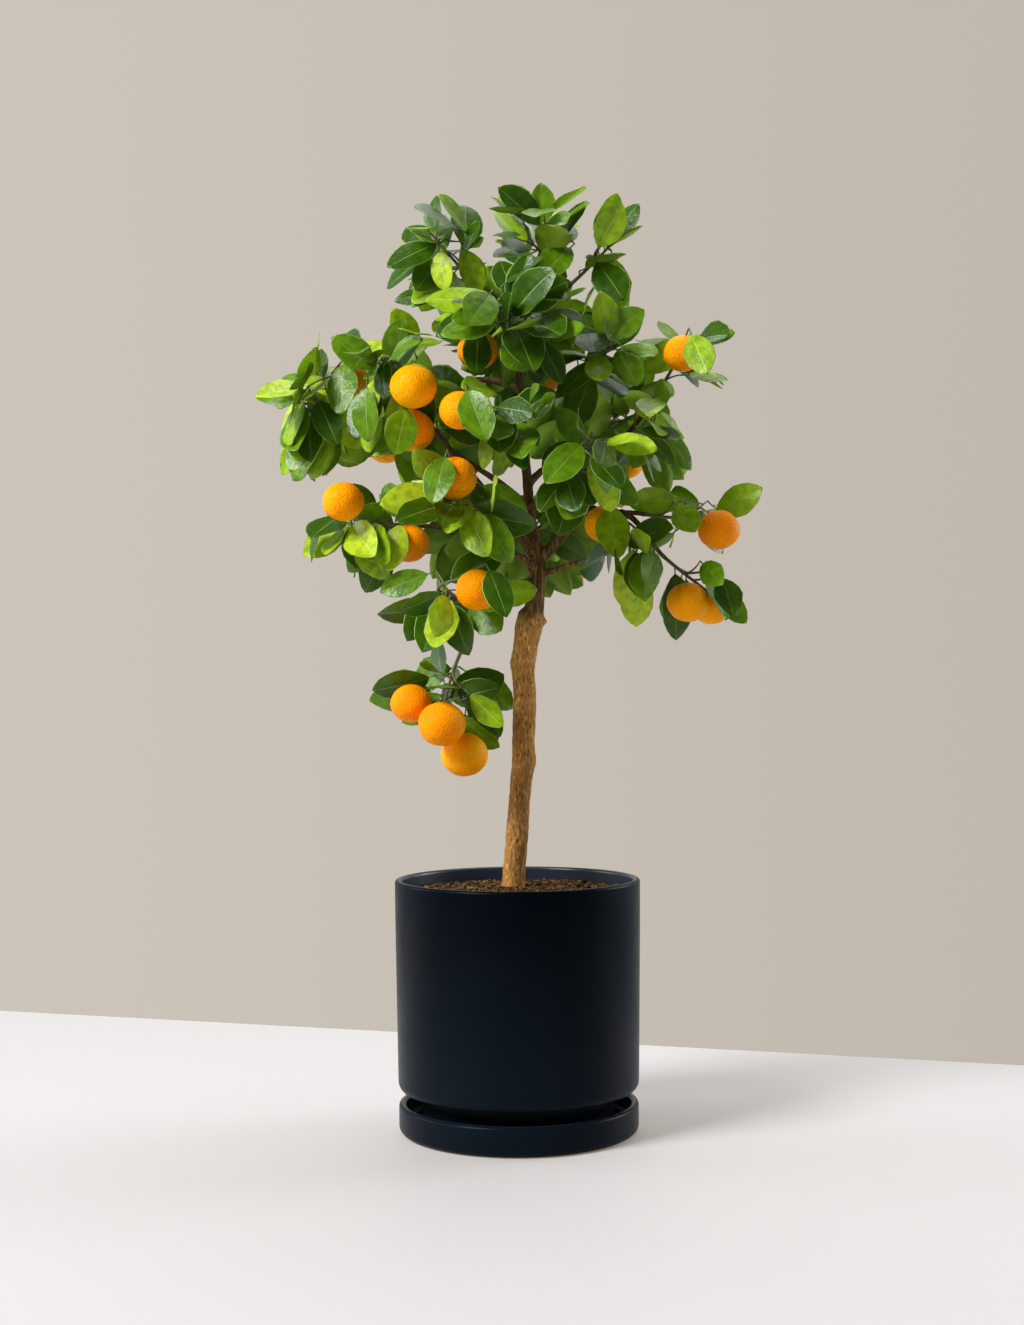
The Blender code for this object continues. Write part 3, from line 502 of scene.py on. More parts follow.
boughs = {
    # the limb it leaves, how far along it, the rise and the swing there, its radius, and how deep
    # in its mass it ends where that is set
    "left_high": ("trunk", 0.925, 48, 10, 4.6), "right_mid": ("trunk", 0.925, 34, -4, 4.8),
    "back_left": ("leader", 0.10, 42, 0, 3.4), "back_right": ("leader", 0.20, 45, 0, 3.4),
    "back_low": ("trunk", 0.865, 25, 0, 3.2), "front_left": ("trunk", 0.895, 15, 0, 3.0),
    "front_right": ("leader", 0.10, 18, 0, 3.0), "front_heart": ("leader", 0.30, 25, 0, 2.8),
    "low_left": ("trunk", 0.855, 12, 0, 3.0, 0.25), "low_right": ("trunk", 0.885, 0, 0, 3.0),
    "left_low": ("left_high", 0.22, -6, 0, 3.0), "left_tip": ("leader", 0.60, 35, 0, 3.0),
    "right_high": ("leader", 0.48, 40, 0, 2.9), "front_high": ("leader", 0.54, 40, 0, 2.9),
    "back_high": ("leader", 0.66, 45, 0, 2.8), "top_left": ("leader", 0.84, 55, 0, 2.5),
    "top_right": ("leader", 0.90, 55, 0, 2.4), "right_tip": ("right_mid", 0.62, 66, 40, 2.6),
    "right_low": ("right_mid", 0.55, -20, 0, 2.8), "right_hang": ("right_low", 0.60, -16, -25, 2.4),
    "hanging": ("low_left", 0.76, -60, 0, 2.2),
}
# each mass of foliage: middle, half-sizes, twigs from its stem, fruit (middle, diameter and, for
# one with a leaf hung over it, how far to the right of its middle, in radii), tips of the shoots
# that stand out, and the stem's end where it is set
masses = {
    "top": ((24, 2, 756), (74, 68, 56), 4, [], [(24, -4, 812), (-12, -14, 806)]),
    "top_left": ((-56, 2, 751), (62, 64, 56), 5, [], [(-70, 0, 803), (-106, 0, 742)]),
    "top_right": ((74, 4, 744), (48, 62, 56), 5, [], [(106, 0, 797)]),
    "front_high": ((-2, -74, 674), (70, 66, 58), 5, [(-30, -52, 660, 34, -0.2)], []),
    "back_high": ((0, 88, 694), (80, 70, 64), 5, [(30, 132, 668, 35)], []),
    "left_high": ((-98, -48, 634), (66, 72, 56), 4,
                  [(-81, -104, 622, 38), (-84, -78, 590, 37, -0.5)], []),
    "front_heart": ((-8, -84, 588), (58, 60, 56), 6, [(-44, -108, 602, 33, 0.9)], []),
    "left_tip": ((-167, -2, 618), (51, 66, 64), 5, [(-140, -14, 640, 34, 0.1)],
                 [(-221, -4, 633)]),
    "left_low": ((-126, 0, 520), (56, 66, 58), 4, [(-143, -48, 535, 35), (-90, -20, 502, 35, -0.4)],
                 []),
    "front_left": ((-46, -88, 526), (62, 64, 58), 4, [(-49, -104, 548, 37, -0.5)], []),
    "low_left": ((-48, -40, 450), (62, 60, 54), 3, [(-31, -80, 459, 36, 0.7)], []),
    "hanging": ((-64, -14, 374), (76, 56, 56), 4,
                [(-89, -22, 366, 35), (-62, -48, 349, 40), (-44, -18, 322, 40)],
                [(-130, -6, 384), (-16, -30, 380)], (-62, -8, 362)),
    "front_right": ((56, -76, 562), (60, 64, 60), 5, [], []),
    "right_mid": ((112, -14, 602), (48, 66, 54), 4, [], []),
    "low_right": ((88, -26, 494), (56, 60, 50), 5, [(76, -20, 517, 34, 0.5)],
                  [(92, -20, 446), (104, -12, 428)]),
    "right_high": ((72, -30, 652), (52, 70, 56), 5, [], []),
    "right_tip": ((144, 12, 662), (52, 58, 46), 5, [(143, -28, 660, 33, 0.8)], [(190, 0, 684)]),
    "right_low": ((152, 14, 522), (58, 58, 42), 5, [(174, -12, 512, 36)], [(213, 0, 549)]),
    "right_hang": ((152, -6, 464), (54, 54, 46), 5,
                   [(146, -24, 450, 36), (170, 18, 448, 34)], []),
    "back_left": ((-88, 98, 620), (82, 78, 76), 4,
                  [(-120, 146, 606, 37), (-52, 158, 640, 35)], []),
    "back_right": ((86, 96, 614), (82, 78, 76), 4, [(104, 152, 590, 37)], []),
    "back_low": ((0, 88, 514), (86, 76, 58), 4, [(-28, 142, 500, 36), (48, 128, 486, 36)], []),
}
massNames = list(masses)
massMiddles = np.array([masses[n][0] for n in massNames], float)
massReaches = np.array([masses[n][1] for n in massNames], float)
fruitBalls = np.array([(*f[:3], f[3] / 2) for m in masses.values() for f in m[3]])


def barkFinish():
    # golden-brown bark: upright fissures and pale flecks, darker and greener above the graft, and
    # darkened towards the foot as painted shade
    bark = Finish("bark", Metallic=0.0, Roughness=0.85, Specular_IOR_Level=0.15)
    grain = bark.noise(520.0, 5.0, (1.0, 1.0, 0.38), 0.62)
    blotch = bark.noise(60.0, 3.0, (1.0, 1.0, 0.6))
    streak = bark.noise(420.0, 2.0, (1.0, 1.0, 0.10))
    colour = bark.blend(grain.step(0.33, 0.47), wood["furrow"], wood["ridge"])
    colour = bark.blend(grain.step(0.54, 0.66), colour, wood["tan"])
    colour = bark.blend(blotch.step(0.50, 0.72) * 0.40, colour, wood["moss"])
    # painted shade: the bark darkens towards the foot
    foot = 1.0 - bark.height().step(0.22, 0.42)
    colour = bark.blend(foot * 0.26, colour, wood["furrow"])
    above = bark.height().step(0.434, 0.446)
    high = bark.height().step(0.480, 0.530)
    streaks = streak.step(0.46, 0.62) * (1.0 - high * 0.85)
    upper = bark.blend(streaks, wood["upper"], wood["upperStreak"])
    colour = bark.blend(above * 0.88, colour, upper)
    # painted shade: the small hole is painted near-black
    near = bark.node("ShaderNodeVectorMath", {"operation": "DISTANCE"},
                     {0: bark.place(), 1: wood["hole"]})
    bark.set(Base_Color=bark.blend(1.0 - near.step(0.0009, 0.0022), colour, (0.01, 0.006, 0.004)))
    return bark.relief(grain, 0.75, 0.0016)


class Limb:
    # the trunk, the leader or a bough: a path with its radius at each point
    def __init__(self, path, radii):
        self.path = np.asarray(path, float)
        self.radii = np.asarray(radii, float)

    def balls(self, spacing=4.0):
        # points along the limb with its radius there
        run = runOf(self.path)
        points = evenPath(self.path, spacing)
        at = np.linspace(0, run[-1], len(points))
        return np.column_stack([points, np.interp(at, run, self.radii)])


def ownSpace(points, own, limit=1.0):
    # true where a point is within the mass's reach and clear of every other mass
    far = np.linalg.norm((points[..., None, :] - massMiddles) / massReaches, axis=-1)
    mine = far[..., own]
    far = np.delete(far, own, axis=-1).min(axis=-1)
    return (mine < limit) & (far - mine > growth["margin"])


def boughLimb(name, limbs):
    # from the fork to the first place within its mass's own space
    parent, along, rise, swing, radius, *depth = boughs[name]
    own = massNames.index(name)
    middle = massMiddles[own]
    fork, _ = pointAlong(limbs[parent].path, along)
    bearing = math.atan2(*(middle - fork)[1::-1]) + math.radians(swing)
    rise = math.radians(rise)
    start = np.array([math.cos(bearing) * math.cos(rise), math.sin(bearing) * math.cos(rise),
                      math.sin(rise)])
    away = np.linalg.norm((fork - middle) / massReaches[own])
    depths = depth or wood["depths"]
    tips = [middle + (fork - middle) * d / away for d in depths]
    tip = next(t for t in tips if ownSpace(t[None], own)[0])
    span = np.linalg.norm(tip - fork)
    arrive = unit(unit(middle - fork) + wood["arrival"] * start)
    atFork, atTip = wood["bends"]
    count = wood["boughPoints"]
    path = bezier([fork, fork + start * span * atFork, tip - arrive * span * atTip, tip], count)
    return Limb(path, np.linspace(radius, wood["boughTip"], count))


def allLimbs():
    # the leader starts a gap above the trunk's top, in line with it
    rows = np.array(wood["trunk"], float)
    trunk = Limb(rows[:, [1, 2, 0]], rows[:, 3])
    base = trunk.path[-1] + solidGap * unit(trunk.path[-1] - trunk.path[-2])
    rows = np.array(wood["leader"], float)
    path = np.vstack([base, rows[:, [1, 2, 0]]])
    limbs = {"trunk": trunk,
             "leader": Limb(path, np.append(wood["leaderBase"], rows[:, 3]))}
    for name in boughs:
        limbs[name] = boughLimb(name, limbs)
    return limbs


def makeTrunk(limbs, bark):
    # the trunk and its leader as one surface round their path: its radius, plus fine ridges and
    # broad lumps in step with its thickness, plus at each knot its height times
    # exp(-(distance from it / spread)^2)
    luck = np.random.RandomState(3)
    path = np.vstack([limbs["trunk"].path, limbs["leader"].path[1:]])
    radii = np.append(limbs["trunk"].radii, limbs["leader"].radii[1:])
    run = runOf(path)
    rows = int(run[-1] / wood["step"])
    at = np.linspace(0, run[-1], rows)
    fine = np.stack([eased(np.interp(at, run, path[:, k]), 12) for k in range(3)], axis=1)
    radius = eased(np.interp(at, run, radii), 8)
    sides = wood["sides"]
    scale = np.clip(radius / 9.0, 0.15, 1.0)[:, None]
    ridges = (patchNoise(luck, rows, sides, rows // 5, 34)
              + 0.7 * patchNoise(luck, rows, sides, rows // 3, 48))
    lumps = patchNoise(luck, rows, sides, rows // 24, 7)
    relief = scale * (wood["fissure"] * ridges + wood["lumps"] * lumps)
    rings = tubeRings(fine, radius, sides)
    bearing = np.degrees(np.arctan2(rings[..., 1] - fine[:, None, 1], rings[..., 0] - fine[:, None, 0]))
    for height, toward, out, spread in wood["knots"]:
        turn = np.radians((bearing - toward + 180) % 360 - 180) * radius[:, None]
        rise = fine[:, None, 2] - height
        relief = relief + out * np.exp(-(turn ** 2 + rise ** 2) / spread ** 2)
    relief[0] = np.minimum(relief[0], 0)
    rings = tubeRings(fine, radius, sides, relief)
    rings[0, :, 2] = wood["trunk"][0][0]
    limb = Joined()
    limb.addRings(rings)
    item = limb.piece("trunkWood", [bark])
    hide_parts("trunk", "leader")


def makeBoughs(limbs, bark):
    # tapering tubes with low lumps; at its fork each is thicker by a collar whose share falls
    # off as exp(-distance / length)
    luck = np.random.RandomState(8)
    sides = wood["boughSides"]
    thicker, length = wood["collar"]
    wooden = Joined()
    for name in boughs:
        limb = limbs[name]
        run = runOf(limb.path)[-1]
        path = evenPath(limb.path, 2.0)
        rows = len(path)
        radii = np.interp(np.linspace(0, 1, rows), (0, 1), (limb.radii[0], limb.radii[-1]))
        away = np.linspace(0, run, rows)
        radii = radii * (1 + thicker * np.exp(-away / length))
        relief = wood["boughLumps"] * patchNoise(luck, rows, sides, max(3, rows // 3), 6)
        wooden.addTube(path, radii, sides, relief=relief * (radii / 4.0)[:, None])
    item = wooden.piece("boughWood", [bark])
    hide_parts(*[n + "_bough" for n in boughs])


# Growth of the crown.
growth = {
    "seed": 41, "margin": 0.022, "clearance": 1.0, "step": 6.0,
    # radii of a mass's stem, side twigs and finer twigs, at the foot and at the tip
    "stemRadius": 1.7, "stemTip": 1.0, "sideRadius": 1.3, "sideTip": 0.8, "fineRadius": 0.9,
    "fineTip": 0.6,
    # the stem goes on past its mass's middle by this share of the reach, and a little up
    "stemPast": 0.4, "stemRise": 12.0,
    # side twigs end this share of a leaf inside the mass, but at least this share of its reach out
    "sideInside": 0.62, "sideLeast": 0.35,
    # where finer twigs leave a twig, their length, and the shortest twig that has any
    "fineTwigs": (0.20, 0.40, 0.60, 0.82), "fineLength": 38.0, "fineFrom": 26.0,
    # leaves: length, stalk, width over length, how far out of the mass they reach, the distance
    # and the angle from one to the next along a twig and off it
    "blade": 62.0, "stalk": 6.5, "slim": 0.51, "leafLimit": 1.12, "leafGap": 13.0,
    "leafAngle": 58.0,
    # each leaf: directions tried, the smaller size tried next, how far it turns out of the mass
    # and into its own plane, the room beyond which one place is as good as another, and luck
    "tries": 12, "smaller": 0.84, "outward": 0.35, "flatten": 0.3, "enoughRoom": 30.0,
    "roomLuck": 0.8,
    # spots of another blade as balls: radius, clearance, and the share by the root left out
    "spotRadius": 0.5, "spotClearance": 0.6, "rootShare": 0.25,
    # shoots: the leaf at the end, the reach from which there is a twig, and the length beyond
    # which the leaf gets no wider
    "shootLeaf": 1.02, "shootTwigFrom": 66.0, "shootWidest": 58.0,
    # leaves hang more below the crown's top, and face out from its heart, up, to the front or
    # the back, and by chance, in these shares; those before frontHalf face the front
    "droop": 0.60, "facing": (0.45, 0.35, 0.60, 0.50),
    "heart": (0.0, 10.0, 560.0), "crownTop": 790.0, "frontHalf": 30.0,
    # no leaf this near the trunk before it, below the crown's foot
    "trunkRoom": 14.0, "trunkMiddle": 12.0, "crownFoot": 440.0,
    # fruit with a middle before this Y show at least this share of their radius
    "fruitFront": -11.0, "fruitShown": 0.62,
}
# openings between the sprays, as seen from the front: X, height and radius
openings = {
    "top": [(-5, 810, 10), (-110, 770, 10), (115, 750, 16)],
    "left": [(-120, 690, 11), (-195, 660, 11), (-218, 595, 18), (-110, 565, 9), (-160, 475, 16)],
    "right": [(155, 700, 12), (185, 660, 15), (150, 620, 16), (105, 560, 7), (165, 550, 14),
              (200, 530, 12), (190, 485, 13), (85, 465, 8)],
    "hanging": [(-115, 412, 20), (-95, 335, 12)],
}
bladeBend = 0.10         # how far a tested blade sags at its tip and its sides rise
# spots over a blade at which it is tested, as shares of its length and width
bladeSpots = np.array([(0.15, 0), (0.4, 0), (0.65, 0), (0.85, 0), (1, 0)]
                      + [(a, b * s) for s in (-1, 1)
                         for a, b in ((0.3, 0.30), (0.45, 0.45), (0.62, 0.5), (0.8, 0.38), (0.93, 0.2),
                                      (0.45, 0.22), (0.7, 0.22))])


class Blades:
    # leaves as arrays: root, direction, the way each faces, length and width
    def __init__(self, root, along, facing, length, width):
        self.root = root
        self.along = unit(along)
        self.facing = unit(facing - self.along * np.sum(facing * self.along, -1, keepdims=True))
        self.across = np.cross(self.facing, self.along)
        self.length = length
        self.width = width

    def spots(self):
        a, b = bladeSpots[:, 0], bladeSpots[:, 1]
        length, width = self.length[:, None], self.width[:, None]
        lift = -bladeBend * a * a * length + bladeBend * np.abs(b) * width
        return (self.root[:, None] + self.along[:, None] * (a * length)[..., None]
                + self.across[:, None] * (b * width)[..., None]
                + self.facing[:, None] * lift[..., None])

    def middles(self):
        return self.root + self.along * self.length[:, None] * 0.55

    def hits(self, balls, clearance, pastRoot):
        # for each blade and ball, whether the ball comes within the clearance of the blade
        offset = balls[None, :, :3] - self.root[:, None]
        a = np.sum(offset * self.along[:, None], -1)
        b = np.sum(offset * self.across[:, None], -1)
        length, width = self.length[:, None], self.width[:, None]
        lift = (np.sum(offset * self.facing[:, None], -1)
                + bladeBend * np.clip(a, 0, None) ** 2 / length - bladeBend * np.abs(b))
        room = balls[None, :, 3] + clearance
        inside = ((a - length / 2) / (length / 2 + room)) ** 2 + (b / (width / 2 + room)) ** 2 < 1
        return inside & (a > pastRoot * length) & (np.abs(lift) < room)

    def meets(self, spots):
        # for each blade and spot of other blades, whether the two come too close
        points = spots.reshape(-1, 3)
        balls = np.column_stack([points, np.full(len(points), growth["spotRadius"])])
        return self.hits(balls, growth["spotClearance"], growth["rootShare"])

    def pick(self, k):
        return Blades(*[v[k:k + 1] for v in (self.root, self.along, self.facing, self.length,
                                             self.width)])


def stack(blades):
    return Blades(*[np.concatenate([getattr(b, key) for b in blades])
                    for key in ("root", "along", "facing", "length", "width")])


def beforeTrunk(spots):
    # true for a blade that would pass in front of the trunk below the crown
    rows = np.array(wood["trunk"], float)
    side = np.abs(spots[..., 0] - np.interp(spots[..., 2], rows[:, 0], rows[:, 1]))
    return ((side < growth["trunkRoom"]) & (spots[..., 2] < growth["crownFoot"])
            & (spots[..., 1] < growth["trunkMiddle"])).any(axis=1)


def seenAt(spots, depth):
    # where a spot is seen from the front, on the upright plane at that depth
    eye = np.array(studio["cameraAt"])
    return eye + (spots - eye) * ((depth - eye[1]) / (spots[..., 1:2] - eye[1]))


def inTheWay(spots):
    # true for a blade that closes an opening, or passes before the middle of a fruit in front
    def covers(ball, depth):
        seen = seenAt(spots, depth)
        return np.hypot(seen[..., 0] - ball[0], seen[..., 2] - ball[1]) < ball[2]

    bad = np.zeros(spots.shape[:-1], bool)
    for side in openings.values():
        for opening in side:
            bad |= covers(opening, 0.0)
    for x, y, z, radius in fruitBalls[fruitBalls[:, 1] < growth["fruitFront"]]:
        bad |= covers((x, z, radius * growth["fruitShown"]), y) & (spots[..., 1] < y)
    return bad.any(axis=1)


class Mass:
    # one mass of foliage, grown from the end of its limb
    def __init__(self, name, limbs):
        self.own = massNames.index(name)
        self.middle = massMiddles[self.own]
        self.reach = massReaches[self.own]
        plan = masses[name]
        self.twigCount, self.fruit, self.tips = plan[2], plan[3], plan[4]
        self.stemEnd = plan[5] if len(plan) > 5 else None
        self.luck = np.random.RandomState(growth["seed"] + self.own)
        self.limb = limbs["leader" if name == "top" else name]
        rest = [limb.balls() for limb in limbs.values() if limb is not self.limb]
        self.others = np.vstack(rest + [fruitBalls])
        self.balls = np.vstack([self.others, self.limb.balls()])
        self.twigs = []          # path, radius at the foot and at the tip
        self.leaves = []
        self.sprays = []         # the spray each leaf belongs to
        self.spray = 0
        self.ends = []           # twig tips, for buds

    def clear(self, path, balls, limit=1.0):
        # the path as far as it stays in the space and clear of limbs and fruit
        fine = evenPath(path, 4.0)
        far = np.linalg.norm(fine[:, None, :] - balls[None, :, :3], axis=2)
        good = np.all(far > balls[:, 3] + growth["stemRadius"] + growth["clearance"], axis=1)
        bad = np.flatnonzero(~(good & ownSpace(fine, self.own, limit)))
        if not len(bad):
            return path, True
        return evenPath(fine[:max(int(bad[0]), 2)], growth["step"]), False

    def growStem(self):
        tip, heading = self.limb.path[-1], unit(self.limb.path[-1] - self.limb.path[-2])
        start = tip + heading * solidGap
        past = unit(self.middle - tip + growth["stemRise"] * upward)
        goal = self.middle + growth["stemPast"] * self.reach * past
        if self.stemEnd:
            goal = np.array(self.stemEnd, float)
        span = np.linalg.norm(goal - start)
        curve = evenPath(bezier([start, start + heading * span * 0.4, goal], 20), growth["step"])
        path, _ = self.clear(curve, self.others)
        # the visible stem runs on out of its bough's tip
        shown = np.vstack([tip - heading * 2.0, path])
        self.twigs.append((shown, growth["stemRadius"], growth["stemTip"]))
        return path

    def sideTwig(self, stem, target, along, least=0.0, whole=False, spared=None, fine=False):
        # a curved twig from the stem towards a target, as long as it stays clear
        start, heading = pointAlong(stem, along)
        span = np.linalg.norm(target - start)
        bend = start + span * 0.45 * unit(unit(target - start) + 0.7 * heading + 0.15 * upward)
        curve = evenPath(bezier([start, bend, target], 20), growth["step"])
        balls = self.balls
        if spared is not None:
            balls = balls[np.linalg.norm(balls[:, :3] - spared, axis=1) > 1e-6]
        path, complete = self.clear(curve, balls, 1.5 if whole else 1.0)
        if (whole and not complete) or runOf(path)[-1] < least:
            return None
        size = "fine" if fine else "side"
        self.twigs.append((path, growth[size + "Radius"], growth[size + "Tip"]))
        return path

    def bladeFacing(self, point):
        # out of the crown, up, and to the front or the back, each leaf a little off
        out = point - np.array(growth["heart"])
        away, rise, broad, stray = growth["facing"]
        side = np.array([0.0, -1.0 if out[1] < growth["frontHalf"] else 1.0, 0.0])
        return unit(unit(out) * away + rise * upward + broad * side
                    + self.luck.uniform(-stray, stray, 3))

    def keep(self, blade):
        self.leaves.append(blade)
        self.sprays.append(self.spray)

    def addLeaf(self, root, heading, turn, lean, length):
        # one leaf, turned to the widest free room; a smaller one where no large one fits
        facing = self.bladeFacing(root)
        out = unit(root - self.middle + 1e-3)
        droop = growth["droop"] * np.clip((growth["crownTop"] - root[2]) / 200.0, 0, 1)
        tries = growth["tries"]
        tilt = np.radians(lean + self.luck.uniform(-16, 26, tries))[:, None]
        around = roundAbout(heading, turn + np.arange(tries) * 360.0 / tries)
        along = np.cos(tilt) * heading + np.sin(tilt) * around
        along = unit(along - growth["flatten"] * facing * (along @ facing)[:, None])
        along = along + growth["outward"] * out - droop * upward
        slim = growth["slim"] * self.luck.uniform(0.88, 1.14)
        for shrink in (1.0, growth["smaller"]):
            size = np.full(tries, length * shrink)
            blades = Blades(np.repeat(root[None], tries, 0), along,
                            np.repeat(facing[None], tries, 0), size, size * slim)
            spots = blades.spots()
            good = np.all(ownSpace(spots, self.own, growth["leafLimit"]), axis=1)
            good &= ~blades.hits(self.balls, growth["clearance"], 0.0).any(axis=1)
            good &= ~beforeTrunk(spots) & ~inTheWay(spots)
            room = np.ones(tries)
            if self.leaves:
                done = stack(self.leaves)
                good &= ~blades.meets(done.spots()).any(axis=1)
                good &= ~done.meets(spots).any(axis=0).reshape(tries, -1).any(axis=1)
                apart = blades.middles()[:, None] - done.middles()[None]
                room = np.linalg.norm(apart, axis=2).min(axis=1)
            if good.any():
                # any free place will do, a roomy one a little sooner
                wish = (np.minimum(room, growth["enoughRoom"]) / growth["enoughRoom"]
                        + self.luck.uniform(0, growth["roomLuck"], tries))
                self.keep(blades.pick(int(np.argmax(np.where(good, wish, -1)))))
                return True
        return False

    def clothe(self, path, first, gap, scale=1.0, tipLeaf=True):
        # leaves in turn along a twig, and one at its tip; returns how far along the last one is
        run = runOf(path)[-1]
        last = 0.0
        turn = self.luck.uniform(0, 360)
        at = first * run
        length = growth["blade"] + growth["stalk"]
        self.spray += 1
        while at < run - 3.0:
            root, heading = pointAlong(path, at / run)
            size = length * scale * self.luck.uniform(0.74, 1.06)
            if self.addLeaf(root, heading, turn, growth["leafAngle"], size):
                last = at / run
            turn += golden
            at += gap * self.luck.uniform(0.85, 1.2)
        if tipLeaf:
            heading = unit(path[-1] - path[-2])
            if self.addLeaf(path[-1], heading, turn, 14.0, length * scale):
                last = 1.0
                self.ends.append((path[-1], heading))
        return last

    def cutBack(self, path, last):
        # a twig is shown as far as its last leaf or finer twig
        k = next(k for k, twig in enumerate(self.twigs) if twig[0] is path)
        if last == 0.0:
            del self.twigs[k]
        elif last < 1.0:
            end, _ = pointAlong(path, last)
            short = np.vstack([path[runOf(path) < last * runOf(path)[-1] - 0.5], end])
            self.twigs[k] = (short, *self.twigs[k][1:])

    def growFruit(self, stem):
        # a stalk from the stem to the top of each fruit
        stalks, tops = [], []
        for fruit in self.fruit:
            centre, radius = np.array(fruit[:3], float), fruit[3] / 2
            for along in (0.97, 0.75, 0.5, 0.25):
                start, _ = pointAlong(stem, along)
                crown = unit(unit(start - centre) + np.array([0, 0, 0.8]))
                stalk = self.sideTwig(stem, centre + crown * radius * 0.8, along, whole=True,
                                      spared=centre)
                if stalk is not None:
                    stalks.append(stalk)
                    tops.append((centre, radius, crown))
                    break
            if stalk is not None and len(fruit) > 4:
                self.hangLeaf(centre, radius, crown, fruit[4])
        return stalks, tops

    def hangLeaf(self, centre, radius, crown, aside):
        # a short twig from the top of a fruit forward over it, with a leaf hanging before it
        front = unit(np.array([0.25 * self.luck.uniform(-1, 1), -1.0, 0.0]))
        right = np.cross(upward, front)
        foot = centre + radius * (0.75 * front + 1.15 * upward + 0.5 * aside * right)
        self.twigs.append((np.array([centre + crown * radius * 1.05, foot]), 0.9, 0.7))
        along = radius * (0.75 * front - 1.35 * upward + 0.7 * aside * right)
        size = growth["blade"] * self.luck.uniform(0.78, 0.92)
        self.spray += 1
        self.keep(Blades(foot[None], along[None], (front + 0.35 * upward)[None], np.array([size]),
                         np.array([size * growth["slim"]])))

    def growShoots(self, stem):
        # a twig for each named shoot, with a leaf that reaches the shoot's tip
        shoots = []
        for tip in self.tips:
            tip = np.array(tip, float)
            for along in (0.9, 0.65, 0.4):
                start, _ = pointAlong(stem, along)
                out = unit(tip - start)
                reach = np.linalg.norm(tip - start)
                blade = growth["blade"] * growth["shootLeaf"]
                facing = self.bladeFacing(tip)
                if reach >= growth["shootTwigFrom"]:
                    twig = self.sideTwig(stem, tip - out * blade, along, whole=True)
                    if twig is None:
                        continue
                    shoots.append(twig)
                    start, reach = twig[-1] - out, blade + 1.0
                width = min(reach, growth["shootWidest"]) * growth["slim"]
                end = Blades(start[None], out[None], facing[None], np.array([reach]),
                             np.array([width]))
                if end.hits(self.balls, growth["clearance"], 0.0).any():
                    continue
                self.keep(end)
                break
        return shoots

    def growFine(self, twig):
        # finer twigs that leave a twig in turn, each aimed outwards
        run = runOf(twig)[-1]
        turn = self.luck.uniform(0, 360)
        found = []
        for along in growth["fineTwigs"]:
            turn += golden
            if run < growth["fineFrom"]:
                continue
            root, heading = pointAlong(twig, along)
            around = roundAbout(heading, turn)
            aim = unit(0.55 * heading + 0.75 * around + 0.45 * unit(root - self.middle + 1e-3))
            length = growth["fineLength"] * self.luck.uniform(0.7, 1.15)
            path = self.sideTwig(twig, root + aim * length, along, least=11.0, fine=True)
            if path is not None:
                found.append((path, along))
        return found

    def grow(self):
        stem = self.growStem()
        stalks, self.tops = self.growFruit(stem)
        twigs = self.growShoots(stem)
        # how far along the stem and each twig something is known to grow
        ends = [0.0] + [1.0] * len(twigs)
        phase = self.luck.uniform(0, 360)
        count = self.twigCount
        for k in range(count):
            height = 1 - 2 * (k + 0.5) / count
            turn = math.radians(phase + k * golden)
            ring = math.sqrt(1 - height * height)
            outward = np.array([ring * math.cos(turn), ring * math.sin(turn), height])
            reach = np.maximum(self.reach - growth["sideInside"] * growth["blade"],
                               growth["sideLeast"] * self.reach)
            target = self.middle + reach * outward
            twig = self.sideTwig(stem, target, 0.25 + 0.75 * (k % 3 + 0.5) / 3, least=16.0)
            if twig is not None:
                twigs.append(twig)
                ends.append(0.0)
        fine = [(k, *f) for k, twig in enumerate([stem] + twigs) for f in self.growFine(twig)]
        for k, path, along in fine:
            last = self.clothe(path, 0.35, growth["leafGap"], 0.94)
            self.cutBack(path, last)
            ends[k] = max(ends[k], along if last else 0.0)
        for twig, end in zip(twigs, ends[1:]):
            self.cutBack(twig, max(end, self.clothe(twig, 0.22, growth["leafGap"])))
        self.clothe(stem, 0.2, growth["leafGap"])
        for stalk in stalks:
            self.clothe(stalk, 0.25, growth["leafGap"], 0.9, tipLeaf=False)
        return self


# Leaves.
leaf = {
    # half-width of the blade along its length: widest past the middle, with a blunt tip
    "along": (0.06, 0.18, 0.34, 0.52, 0.69, 0.83, 0.94),
    "half": (0.27, 0.63, 0.91, 1.00, 0.90, 0.66, 0.33),
    "across": (-1.0, -0.95, -0.024, 0.024, 0.95, 1.0),
    "thick": 0.35, "waves": 0.05,
    # these vary from leaf to leaf, between two values or by one value either way
    "sag": (0.02, 0.20), "fold": (0.08, 0.34), "curl": (-0.10, 0.22), "uneven": 0.06,
    "twist": 0.25,
    "tops": [(0.035, 0.096, 0.002), (0.128, 0.266, 0.005), (0.355, 0.540, 0.012),
             (0.660, 0.830, 0.034)],
    "tones": (0.38, 0.27, 0.20, 0.15), "glow": (0.14, 0.20, 0.32, 0.40), "underGlow": 0.28,
    # tones lighter towards the sides, as painted light, in full from this X on, and the share that
    # takes its spray's tone
    "sideLightFrom": 180.0, "sideLightShift": 0.36, "shared": 0.55,
    "undersides": [(0.200, 0.330, 0.030), (0.380, 0.530, 0.050)],
    # the pale rim colour is a painted glossy edge highlight
    "rib": (0.190, 0.300, 0.042), "ribYoung": (0.430, 0.560, 0.090), "rim": (0.190, 0.340, 0.030),
    "through": (0.620, 0.900, 0.010),
}


